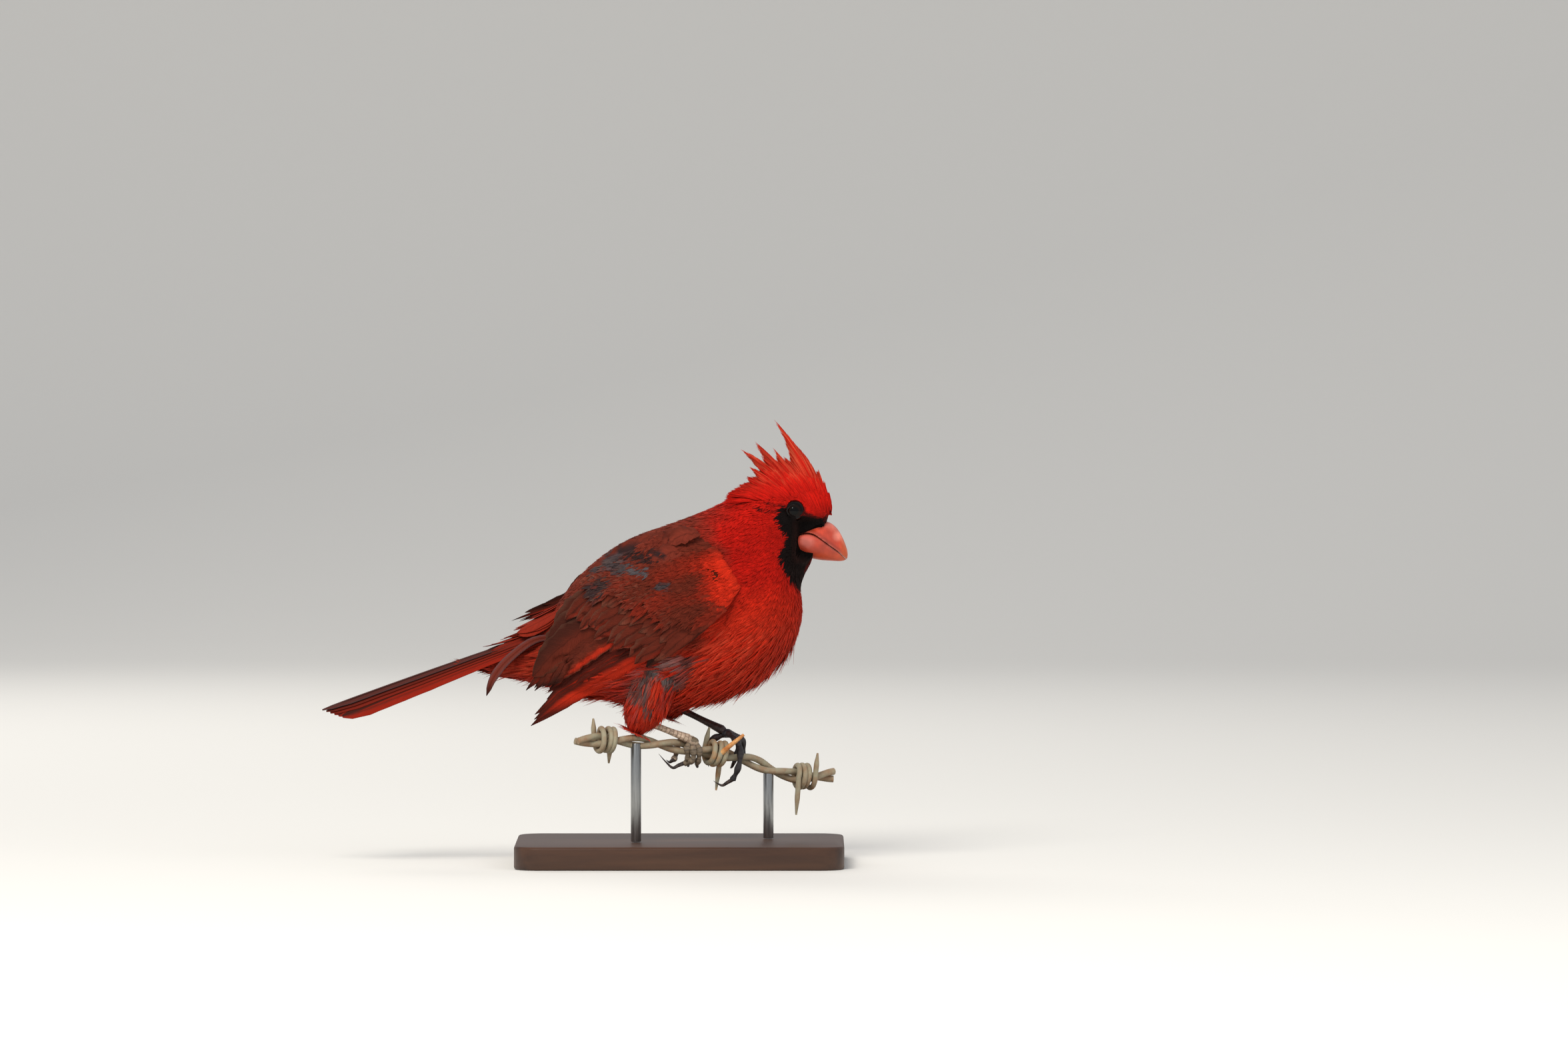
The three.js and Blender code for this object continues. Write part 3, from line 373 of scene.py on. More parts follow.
def wing_at(wing, p, q, lift):
    """A point of a folded wing: p from the wrist to the tip, q up across it, lift away from the body."""
    p, q, lift = np.broadcast_arrays(*(np.asarray(v, float) for v in (p, q, lift)))
    d = math.radians(wing["droop"])
    across = np.where(q > 0, q * wing["rise"], q)
    x = wing["wrist"][0] - math.cos(d) * p - math.sin(d) * across
    z = wing["wrist"][1] - math.sin(d) * p + math.cos(d) * across
    out = unit(np.stack([-read_net(SLOPES[0], x, z), np.ones_like(x), -read_net(SLOPES[1], x, z)], -1))
    y = wing["side"] * (read_net(REST, x, z) + out[..., 1] * lift)
    return np.stack([x + out[..., 0] * lift, y, z + out[..., 2] * lift], -1)


# Meshes


def deselect():
    bpy.ops.object.select_all(action="DESELECT")


def finish_piece(piece, material, replaced=()):
    piece.data.materials.clear()
    piece.data.materials.append(material)
    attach(piece, "root")
    if replaced:
        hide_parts(*replaced)
    return piece


def to_world(points):
    return (np.asarray(points, float) + PERCH) / 1000


def points_of(mesh):
    co = np.zeros(len(mesh.vertices) * 3)
    mesh.vertices.foreach_get("co", co)
    return co.reshape(-1, 3)


def drop_maps(mesh):
    while mesh.uv_layers:
        mesh.uv_layers.remove(mesh.uv_layers[0])


def move_points(mesh, points):
    """Moves a mesh's points, given in millimetres, and drops its maps, which no longer fit."""
    mesh.vertices.foreach_set("co", to_world(points).ravel())
    drop_maps(mesh)


def face_out():
    """Turns the active piece's faces outwards and shades it smooth."""
    bpy.ops.object.mode_set(mode="EDIT")
    bpy.ops.mesh.select_all(action="SELECT")
    bpy.ops.mesh.normals_make_consistent(inside=False)
    bpy.ops.object.mode_set(mode="OBJECT")
    bpy.ops.object.shade_smooth()


def array_piece(name, points, triangles, tint=None, vane=None, bake=None, facing=None):
    """One mesh from arrays: points in millimetres, triangles, and colour and maps at each point."""
    mesh = bpy.data.meshes.new(name)
    mesh.vertices.add(len(points))
    mesh.vertices.foreach_set("co", to_world(points).astype(np.float32).ravel())
    corners = np.asarray(triangles, np.int32).ravel()
    mesh.loops.add(len(corners))
    mesh.loops.foreach_set("vertex_index", corners)
    mesh.polygons.add(len(corners) // 3)
    mesh.polygons.foreach_set("loop_start", np.arange(0, len(corners), 3, dtype=np.int32))
    mesh.polygons.foreach_set("use_smooth", np.ones(len(corners) // 3, bool))
    mesh.update(calc_edges=True)
    for label, uv in (("Vane", vane), ("OFBake", bake)):
        if uv is not None:
            layer = mesh.uv_layers.new(name=label)
            layer.data.foreach_set("uv", np.asarray(uv, np.float32)[corners].ravel())
    if tint is not None:
        paint(mesh, tint)
    if facing is not None:
        mesh.normals_split_custom_set(facing)
    piece = bpy.data.objects.new(name, mesh)
    bpy.context.scene.collection.objects.link(piece)
    return piece


def paint(mesh, tint):
    full = np.ones((len(tint), 4), np.float32)
    full[:, :3] = np.clip(tint, 0, 1)
    layer = mesh.color_attributes.new(name="Tint", type="FLOAT_COLOR", domain="POINT")
    layer.data.foreach_set("color", full.ravel())


def ball_piece(name, sides, rings, place, tint=None, bake=None):
    """A UV sphere whose points are moved to place(t, a): t from end to end, a round it."""
    deselect()
    bpy.ops.mesh.primitive_uv_sphere_add(segments=sides, ring_count=rings, radius=1)
    piece = bpy.context.object
    piece.name = piece.data.name = name
    mesh = piece.data
    co = points_of(mesh)
    t = np.round(np.arccos(np.clip(co[:, 2], -1, 1)) / math.pi * rings) / rings
    a = np.round(np.arctan2(co[:, 1], co[:, 0]) % TAU / TAU * sides) % sides / sides * TAU
    a = np.where((t < 1e-6) | (t > 1 - 1e-6), 0, a)
    points = place(t, a)
    move_points(mesh, points)
    if bake is not None:
        corners = np.zeros(len(mesh.loops), np.int32)
        mesh.loops.foreach_get("vertex_index", corners)
        uv = np.stack([a / TAU, t], -1)[corners]
        starts = np.zeros(len(mesh.polygons), np.int32)
        mesh.polygons.foreach_get("loop_start", starts)
        face = np.searchsorted(starts, np.arange(len(corners)), "right") - 1
        high = np.zeros(len(starts))
        np.maximum.at(high, face, uv[:, 0])
        uv[:, 0] += (high[face] > 0.9) & (uv[:, 0] < 0.1)
        layer = mesh.uv_layers.new(name="OFBake")
        layer.data.foreach_set("uv", on_unwrap(uv, bake).astype(np.float32).ravel())
    face_out()
    if tint is not None:
        paint(mesh, tint(points, t, a))
    return piece


def join(pieces, name):
    deselect()
    for piece in pieces:
        piece.select_set(True)
    bpy.context.view_layer.objects.active = pieces[0]
    bpy.ops.object.join()
    pieces[0].name = pieces[0].data.name = name
    return pieces[0]


# The skin's unwrap: body and thighs each take a part of it, given as its corner and its size.
UNWRAP = {"body": (0, 0, 0.98, 0.8), "right": (0, 0.82, 0.48, 0.17), "left": (0.5, 0.82, 0.48, 0.17)}


def on_unwrap(uv, part):
    u, v, wide, high = UNWRAP[part]
    return uv * [wide, high] + [u, v]


def skin_map(points):
    """Where points lie on the skin's unwrap: share round it and share along it."""
    flat = BODY.place[::4, ::4].reshape(-1, 3)
    found = np.array([np.argmin(((flat - p) ** 2).sum(-1)) for p in np.atleast_2d(points)])
    rows, lanes = BODY.place[::4, ::4].shape[:2]
    return on_unwrap(np.stack([(found % lanes) / lanes, (found // lanes) / rows], -1), "body")


class Vanes:
    """Gathers large feathers, each a thin closed plate, into one mesh."""

    def __init__(self):
        self.parts, self.count = [], 0

    def add(self, top, bottom, tint, across, along):
        """top, bottom: (rows, columns, 3); across, along: millimetres from the shaft and from the root."""
        rows, columns = top.shape[:2]
        n = rows * columns
        i, j = np.meshgrid(np.arange(rows - 1), np.arange(columns - 1), indexing="ij")
        a = (i * columns + j).ravel()
        b, c, d = a + 1, a + columns + 1, a + columns
        rim = np.concatenate([
            np.arange(columns), np.arange(1, rows) * columns + columns - 1,
            (rows - 1) * columns + np.arange(columns - 2, -1, -1), np.arange(rows - 2, 0, -1) * columns,
        ])
        after = np.roll(rim, -1)
        faces = np.concatenate([
            np.stack([a, b, c], 1), np.stack([a, c, d], 1),
            np.stack([a, c, b], 1) + n, np.stack([a, d, c], 1) + n,
            np.stack([rim, rim + n, after + n], 1), np.stack([rim, after + n, after], 1),
        ])
        out = np.cross(top[0, 1] - top[0, 0], top[1, 1] - top[0, 0])
        if (out * (top[0, 0] - bottom[0, 0])).sum() < 0:
            faces = faces[:, ::-1]
        points = np.concatenate([top.reshape(-1, 3), bottom.reshape(-1, 3)])
        uv = np.stack([0.5 + across / MAP_ACROSS, along / MAP_ALONG], -1).reshape(-1, 2)
        patch = (uv - [0.5, 0.5]) * 0.003 + skin_map(top[0, columns // 2])[0]
        shade = tint.reshape(-1, 3)
        # The underside is painted a fifth darker than the top: painted shade.
        shades = np.concatenate([shade, shade * 0.8])
        self.parts.append((points, faces + self.count, shades, np.tile(uv, (2, 1)), np.tile(patch, (2, 1))))
        self.count += len(points)

    def piece(self, name):
        return array_piece(name, *[np.concatenate(x) for x in zip(*self.parts)])


def tufts_piece(name, centre, across, ridge, tint, along, wide, root_uv, soft=0.5):
    """Small feathers, each a thin three-sided blade: arrays of (count, rows, 3)."""
    count, rows = centre.shape[:2]
    points = np.stack([centre - across, centre + ridge, centre + across], 2).reshape(-1, 3)
    faces = []
    for a in range(0, 3 * rows - 3, 3):
        b = a + 3
        faces += [
            (a, a + 1, b + 1), (a, b + 1, b), (a + 1, a + 2, b + 2), (a + 1, b + 2, b + 1),
            (a + 2, a, b), (a + 2, b, b + 2),
        ]
    tip = rows * 3 - 3
    faces += [(0, 2, 1), (tip, tip + 1, tip + 2)]
    faces = (np.array(faces)[None] + (np.arange(count) * rows * 3)[:, None, None]).reshape(-1, 3)
    shade = np.repeat(tint[:, :, None], 3, 2).reshape(-1, 3)
    u = np.stack([-wide, 0 * wide, wide], 2).reshape(-1)
    v = np.repeat(along[:, :, None], 3, 2).reshape(-1)
    uv = np.stack([0.5 + u / MAP_ACROSS, v / MAP_ALONG], -1)
    patch = np.repeat(root_uv, rows * 3, 0) + (uv - [0.5, 0.03]) * [0.02, 0.04]
    out, side = unit(ridge), unit(across) * soft
    facing = unit(np.stack([out - side, out, out + side], 2)).reshape(-1, 3)
    under = -np.repeat(out[:, :, None], 3, 2).reshape(-1, 3)
    upper = [True, True, True, True, False, False] * (rows - 1) + [False, False]
    shown = np.tile(np.repeat(upper, 3), count)[:, None]
    corners = faces.ravel()
    facing = np.where(shown, facing[corners], under[corners])
    return array_piece(name, points, faces, shade, uv, patch, facing)


# Finishes


def group(name, inputs, outputs):
    tree = bpy.data.node_groups.new(name, "ShaderNodeTree")
    for kind, label, default in inputs:
        socket = tree.interface.new_socket(label, in_out="INPUT", socket_type=kind)
        if default is not None:
            socket.default_value = default
    for kind, label in outputs:
        tree.interface.new_socket(label, in_out="OUTPUT", socket_type=kind)
    return tree, tree.nodes.new("NodeGroupInput"), tree.nodes.new("NodeGroupOutput")


def barb_group():
    """Fine barbs that slant from a feather's shaft: a shade for its colour and a height for its relief."""
    tree, source, sink = group(
        "Feather barbs",
        [
            ("NodeSocketFloat", "Barbs", 900.0), ("NodeSocketFloat", "Slant", 1.4),
            ("NodeSocketFloat", "Ragged", 0.5),
        ],
        [("NodeSocketFloat", "Shade"), ("NodeSocketFloat", "Height")],
    )
    nodes, links = tree.nodes, tree.links
    uv = nodes.new("ShaderNodeUVMap")
    uv.uv_map = "Vane"
    parts = nodes.new("ShaderNodeSeparateXYZ")
    links.new(uv.outputs[0], parts.inputs[0])

    def calc(operation, *values):
        node = nodes.new("ShaderNodeMath")
        node.operation = operation
        for socket, value in zip(node.inputs, values):
            if hasattr(value, "links"):
                links.new(value, socket)
            else:
                socket.default_value = value
        return node.outputs[0]

    across = calc("MULTIPLY", calc("SUBTRACT", parts.outputs["X"], 0.5), MAP_ACROSS / MAP_ALONG)
    out = calc("ABSOLUTE", across)
    slanted = calc("SUBTRACT", parts.outputs["Y"], calc("MULTIPLY", out, source.outputs["Slant"]))
    noise = nodes.new("ShaderNodeTexNoise")
    noise.inputs["Scale"].default_value = 90.0
    noise.inputs["Detail"].default_value = 2.0
    links.new(uv.outputs[0], noise.inputs["Vector"])
    ragged = calc("MULTIPLY", source.outputs["Ragged"], 0.01)
    shifted = calc("ADD", slanted, calc("MULTIPLY", noise.outputs["Fac"], ragged))
    wave = calc("SINE", calc("MULTIPLY", shifted, source.outputs["Barbs"]))
    streak = nodes.new("ShaderNodeCombineXYZ")
    links.new(calc("MULTIPLY", slanted, 260.0), streak.inputs["X"])
    links.new(calc("MULTIPLY", out, 30.0), streak.inputs["Y"])
    fine = nodes.new("ShaderNodeTexNoise")
    fine.inputs["Scale"].default_value = 1.0
    fine.inputs["Detail"].default_value = 3.0
    links.new(streak.outputs[0], fine.inputs["Vector"])
    shaft = calc("LESS_THAN", out, 0.0016)
    shade = calc("ADD", calc("MULTIPLY", wave, 0.06), calc("MULTIPLY", fine.outputs["Fac"], 0.7))
    dark_shaft, raised_shaft = calc("MULTIPLY", shaft, 0.25), calc("MULTIPLY", shaft, 2.0)
    links.new(calc("SUBTRACT", calc("ADD", shade, 0.62), dark_shaft), sink.inputs["Shade"])
    links.new(calc("ADD", calc("MULTIPLY", wave, 0.5), raised_shaft), sink.inputs["Height"])
    return tree


def material_base(name, roughness, metallic=0.0, specular=0.5):
    material = bpy.data.materials.new(name)
    material.use_nodes = True
    shader = material.node_tree.nodes["Principled BSDF"]
    shader.inputs["Roughness"].default_value = roughness
    shader.inputs["Metallic"].default_value = metallic
    shader.inputs["Specular IOR Level"].default_value = specular
    return material, material.node_tree.nodes, material.node_tree.links, shader


def tint_colour(nodes):
    """The colour that is painted on the mesh."""
    tint = nodes.new("ShaderNodeVertexColor")
    tint.layer_name = "Tint"
    return tint.outputs["Color"]


def add_relief(nodes, links, shader, height, strength, distance):
    bump = nodes.new("ShaderNodeBump")
    bump.inputs["Strength"].default_value = strength
    bump.inputs["Distance"].default_value = distance
    links.new(height, bump.inputs["Height"])
    links.new(bump.outputs[0], shader.inputs["Normal"])


def feather_finish(name, barbs, relief, roughness, sheen, specular, ragged=0.6):
    """The mesh's own colour, shaded by fine barbs."""
    tree = bpy.data.node_groups.get("Feather barbs") or barb_group()
    material, nodes, links, shader = material_base(name, roughness, specular=specular)
    tint = tint_colour(nodes)
    marks = nodes.new("ShaderNodeGroup")
    marks.node_tree = tree
    marks.inputs["Barbs"].default_value = barbs
    marks.inputs["Ragged"].default_value = ragged
    mix = nodes.new("ShaderNodeVectorMath")
    mix.operation = "SCALE"
    links.new(tint, mix.inputs[0])
    links.new(marks.outputs["Shade"], mix.inputs["Scale"])
    links.new(mix.outputs[0], shader.inputs["Base Color"])
    add_relief(nodes, links, shader, marks.outputs["Height"], relief, 0.0001)
    shader.inputs["Sheen Weight"].default_value = sheen
    shader.inputs["Sheen Roughness"].default_value = 0.5
    shader.inputs["Sheen Tint"].default_value = (1.0, 0.4, 0.3, 1)
    return material


def worn_finish(
    name, base, worn, scale, roughness, spread=(0.45, 0.62), relief=0.3, metallic=0.0, specular=0.5,
    stretch=(1, 1, 1), grain=0.0002, tinted=False,
):
    """Two colours mixed by noise on Object coordinates, with relief from the same noise."""
    material, nodes, links, shader = material_base(name, roughness, metallic, specular)
    place = nodes.new("ShaderNodeTexCoord")
    turn = nodes.new("ShaderNodeMapping")
    turn.inputs["Scale"].default_value = stretch
    links.new(place.outputs["Object"], turn.inputs["Vector"])
    noise = nodes.new("ShaderNodeTexNoise")
    noise.inputs["Scale"].default_value = scale
    noise.inputs["Detail"].default_value = 6.0
    noise.inputs["Roughness"].default_value = 0.62
    links.new(turn.outputs[0], noise.inputs["Vector"])
    ramp = nodes.new("ShaderNodeValToRGB")
    ramp.color_ramp.elements[0].position, ramp.color_ramp.elements[1].position = spread
    ramp.color_ramp.elements[0].color = (*base, 1)
    ramp.color_ramp.elements[1].color = (*worn, 1)
    links.new(noise.outputs["Fac"], ramp.inputs["Fac"])
    shade = ramp.outputs["Color"]
    if tinted:
        tint = tint_colour(nodes)
        mix = nodes.new("ShaderNodeMix")
        mix.data_type = "RGBA"
        mix.blend_type = "MULTIPLY"
        mix.inputs["Factor"].default_value = 1.0
        links.new(shade, mix.inputs["A"])
        links.new(tint, mix.inputs["B"])
        shade = mix.outputs["Result"]
    links.new(shade, shader.inputs["Base Color"])
    add_relief(nodes, links, shader, noise.outputs["Fac"], relief, grain)
    return material


def once(name, make, *values, **named):
    """The finish of this name, made where it isn't there yet."""
    return bpy.data.materials.get(name) or make(name, *values, **named)


def down_finish():
    return once("Small feathers", feather_finish, 1500.0, 0.25, roughness=0.75, sheen=0.06, specular=0.1)


def vane_finish():
    return once("Vaned feathers", feather_finish, 1150.0, 0.5, roughness=0.62, sheen=0.03, specular=0.09)


def skin_finish():
    return once(
        "Skin", worn_finish, (0.9, 0.9, 0.9), (1, 1, 1), 900, 0.8, relief=0.4, specular=0.05, tinted=True
    )


# Markings


def near_line(x, z, points, radius):
    """How far inside a thick line a place is, in millimetres: the line's points are x, z in the side view."""
    best = np.full(np.shape(x), 1e9)
    points = np.asarray(points, float)
    for (ax, az), (bx, bz) in zip(points[:-1], points[1:]):
        d = np.array([bx - ax, bz - az])
        s = np.clip(((x - ax) * d[0] + (z - az) * d[1]) / (d @ d), 0, 1)
        best = np.minimum(best, np.hypot(x - ax - s * d[0], z - az - s * d[1]))
    return radius - best


def inside_of(x, z, outline):
    """How far inside an outline of the side view a place is, in millimetres, and below 0 outside it."""
    near, within = np.full(np.shape(x), 1e9), np.zeros(np.shape(x), bool)
    for (ax, az), (bx, bz) in zip(outline, outline[1:] + outline[:1]):
        dx, dz = bx - ax, bz - az
        along = np.clip(((x - ax) * dx + (z - az) * dz) / (dx**2 + dz**2), 0, 1)
        near = np.minimum(near, np.hypot(x - ax - along * dx, z - az - along * dz))
        if az != bz:
            within ^= ((az > z) != (bz > z)) & (x < ax + dx * (z - az) / dz)
    return np.where(within, near, -near)


def mask_at(p):
    """1 where the face is black, 0 where it is red."""
    x, z = p[..., 0], p[..., 2]
    inside = inside_of(x, z, MASK) + 0.45 * ripple(p, 1.8, 3)
    streak = near_line(x, z, [(28, 95.3), (22, 96.4), (18, 97.4)], 0.3) + 0.2 * ripple(p, 1.5, 4)
    return smooth(-0.35, 0.35, np.maximum(inside, streak))


# The back's front edge in the side view: height, and x of the edge.
BACK_EDGE = np.array([
    [-40, -12.0], [20, -12.0], [43.4, -9.0], [53.5, -6.5], [64.8, -1.0], [69.3, 4.6], [78.3, 3.5],
    [82.8, -4.5], [90.7, -7.0], [140, -8.0],
])
# Where grey down shows between the feathers of the back, in the side view: a line's points, its half width,
# and how light it is.
BARE_DOWN = [
    ([(-42.5, 74.6), (-37, 75.8), (-31, 73.8)], 2.5, 0.4),
    ([(-49, 61.4), (-44, 64.6), (-38.5, 68.2)], 2.4, 0.2),
    ([(-37, 79.6), (-30, 79.8), (-21.5, 77.6)], 1.7, 0.1),
    ([(-29, 73.4), (-24, 73.0)], 1.5, 0.7),
    ([(-57, 58.4), (-54.5, 60.0)], 1.4, 0.35),
    ([(-17, 66.6), (-14, 66.0)], 1.5, 0.35),
]
# Where the flank's grey down shows, in the side view: the middle and the radius of each spot.
FLANK_DOWN = (
    (-22.5, 32.5, 7.5), (-30.0, 23.0, 8.0), (-14.5, 34.0, 6.5), (-17.0, 27.5, 6.5), (-27.0, 14.0, 3.0),
)


def bare_down(p, shade, colours):
    """The back's colour with its grey patches laid over it."""
    x, z = p[..., 0], p[..., 2]
    ragged = 0.9 * ripple(p, 3.5, 31)
    for line, half, light in BARE_DOWN:
        amount = smooth(-0.7, 0.9, near_line(x, z, line, half) + ragged)
        grey = colours["slate"] * (light * (1 + 0.25 * ripple(p, 2.4, 32)))[..., None]
        shade = lay_over(shade, grey, 0.88 * amount)
    return shade


def plumage_at(p, colours):
    """The coat's colour at places in millimetres, and how pale, how loose and how far on the back it is."""
    x, y, z = p[..., 0], p[..., 1], p[..., 2]
    edge = np.interp(z, BACK_EDGE[:, 0], BACK_EDGE[:, 1])
    back = smooth(4.5, -4.5, x - edge + 2.5 * ripple(p, 9, 5))
    below = smooth(46, 34, z + 3 * ripple(p, 8, 6))
    back = back * (1 - below * smooth(-70, -60, x)) * smooth(26, 36, z + 0.3 * (x + 60))
    shade = lay_over(colours["red"], colours["breast"], smooth(72, 50, z))
    shade = shade * (0.9 + 0.16 * ripple(p, 5, 7))[..., None]
    cheek = smooth(9, 3, np.hypot(x - 24, z - 84))
    shade = shade * (1 - 0.18 * cheek)[..., None]
    nape = smooth(6, -8, x - 2 + 0.2 * (z - 96)) * smooth(84, 94, z)
    shade = lay_over(shade, colours["mantle"] * 1.5, 0.45 * nape)
    dull = bare_down(p, colours["mantle"] * (1.0 + 0.3 * ripple(p, 6, 8))[..., None], colours)
    shade = lay_over(shade, dull, back)
    rump = smooth(-54, -62, x) * smooth(58, 50, z)
    shade = lay_over(shade, blend(colours["mantle"], colours["edge"], 0.6), rump * 0.75)
    grey = np.zeros_like(x)
    for spot_x, spot_z, r in FLANK_DOWN:
        grey = np.maximum(grey, smooth(r, r * 0.4, np.hypot(x - spot_x, z - spot_z)))
    grey = grey * smooth(-0.9, 0.1, ripple(p, 6, 10)) * smooth(3, 8, np.abs(y))
    shade = lay_over(shade, colours["pale"] * 0.62, 0.6 * smooth(0.05, 0.5, grey))
    light = 0.55 + 1.3 * smooth(7, 2.5, np.hypot(x + 21, (z - 33) * 1.4)) + 0.3 * ripple(p, 3, 12)
    slate = colours["slate"] * [1.1, 1.0, 0.9] * light[..., None]
    shade = lay_over(shade, slate, 0.92 * smooth(0.15, 0.6, grey))
    shade = lay_over(shade, colours["mask"], mask_at(p))
    pale = smooth(60, 44, z) * (1 - back) * (1 - grey) * (0.35 + 0.35 * ripple(p, 4, 11))
    loose = smooth(58, 40, z) * (1 - back)
    return shade, np.clip(pale, 0, 1), loose, back


def plumage_colours():
    settings = bpy.context.scene.cardinal_plumage
    names = ("red", "breast", "pale", "mantle", "slate", "mask", "covert", "edge", "flight")
    return {name: np.array(getattr(settings, name)[:]) for name in names}


# The bird's pieces

THIGH_FEATHERS = 2600
THIGHS = {
    "right": {"path": [(-19, -12, 36), (-24.6, -11.2, 24.0), (-31.8, -10.1, 7.9)], "radius": 11.5},
    "left": {"path": [(-9, 12, 38), (-13.6, 10.9, 27.8), (-20.1, 9.3, 12.8)], "radius": 10.5},
}


def thigh_at(name, t, a, sink=0.0):
    shape = THIGHS[name]

    def radius(s):
        ends = np.minimum(1, np.minimum(2.2 * np.sqrt(s + 0.02), 2.4 * np.sqrt(1.03 - s)))
        return np.maximum(shape["radius"] * (1 - 0.5 * s**1.6) * ends - sink, 0.4)

    return bar_at(shape["path"], radius, t, a)


class CARDINAL_OT_skin(bpy.types.Operator):
    """Makes the skin under the coat, in one piece from the face to the root of the tail"""

    bl_idname = "cardinal.skin"
    bl_label = "Skin"

    def execute(self, context):
        colours = plumage_colours()
        depth = context.scene.cardinal_plumage.coat_depth * 1000

        skin = ball_piece("skin", 96, 110, lambda t, a: body_at(t, a, depth), bake="body")
        for side in THIGHS:
            thigh = ball_piece(
                f"skin_{side}", 40, 36, lambda t, a: thigh_at(side, t, a, depth), bake=side
            )
            deselect()
            bpy.context.view_layer.objects.active = skin
            union = skin.modifiers.new("Union", "BOOLEAN")
            union.operation, union.solver, union.object = "UNION", "EXACT", thigh
            bpy.ops.object.modifier_apply(modifier=union.name)
            bpy.data.objects.remove(thigh)
        # The skin takes the coat's colour, painted a quarter darker: painted shade between the feathers.
        paint(skin.data, plumage_at(points_of(skin.data) * 1000 - PERCH, colours)[0] * 0.75)
        covered = ("neck", "torso", "rump", "thigh_right", "thigh_left")
        finish_piece(skin, skin_finish(), covered)
        return {"FINISHED"}


def feather_size(p, settings):
    """Length and half width of the small feathers, by place."""
    short, full = settings.face_feather * 1000, settings.body_feather * 1000
    x, y, z = p[..., 0], p[..., 1], p[..., 2]
    far = np.sqrt((x - 40) ** 2 + (z - 85) ** 2 + (0.6 * y) ** 2)
    head = smooth(5, 30, far)
    size = blend(short, 4.6, smooth(4, 15, far))
    size = blend(size, full, smooth(18, 46, far))
    wide = blend(0.26, 0.56, head)
    wide = blend(wide, 0.8, smooth(30, 62, far))
    return size, wide


def lay(surface, t, a, size, wide, lift, yaw, rise, rows=4):
    """Centre lines, half widths across and ridges of small feathers that follow a surface."""
    s = np.linspace(0, 1, rows)[None]
    speed = np.maximum(surface.read(surface.speed, t, a), 4.0)
    tt = t[:, None] + s * (size / speed)[:, None]
    turn = surface.read(surface.place, t, a + 0.02) - surface.read(surface.place, t, a - 0.02)
    around = np.maximum(np.linalg.norm(turn, axis=-1), 0.05) / 0.04
    aa = a[:, None] + s * (yaw * size / around)[:, None]
    aa = np.where(np.abs(aa - a[:, None]) > 0.7, a[:, None], aa)
    over = np.maximum(tt - 0.996, 0) * speed[:, None]
    read_at = np.minimum(tt, 0.996)
    nets = (surface.place, surface.normal, surface.lie)
    place, normal, lie = (surface.read(net, read_at, aa) for net in nets)
    height = rise[0][:, None] + (rise[1] - rise[0])[:, None] * s + lift[:, None] * s**2
    centre = place + normal * height[..., None] + lie * over[..., None]
    run = unit(np.gradient(centre, axis=1))
    shape = outline("tuft", s)
    across = unit(np.cross(run, normal)) * (wide[:, None] * shape)[..., None]
    ridge = normal * (0.24 * wide[:, None] * shape + 0.02)[..., None]
    return centre, across, ridge, size[:, None] * s, wide[:, None] * shape


def bare(p):
    """True where no small feather grows: the eye's lids and the bill."""
    eye = np.hypot(p[..., 0] - EYE[0], p[..., 2] - EYE[1]) < LIDS_REACH
    return eye | (inside_of(p[..., 0], p[..., 2], BARE_BILL) > 0.5)


def under_wing(p):
    """True where the folded wings hide the coat."""
    hidden = np.zeros(p.shape[:-1], bool)
    for wing in WINGS.values():
        d = math.radians(wing["droop"])
        dx, dz = p[..., 0] - wing["wrist"][0], p[..., 2] - wing["wrist"][1]
        along = -math.cos(d) * dx - math.sin(d) * dz
        across = -math.sin(d) * dx + math.cos(d) * dz
        across = np.where(across > 0, across / wing["rise"], across)
        inside = (along > 6) & (along < 62) & (across > -5) & (across < 17)
        hidden |= inside & (np.sign(p[..., 1]) == wing["side"])
    return hidden


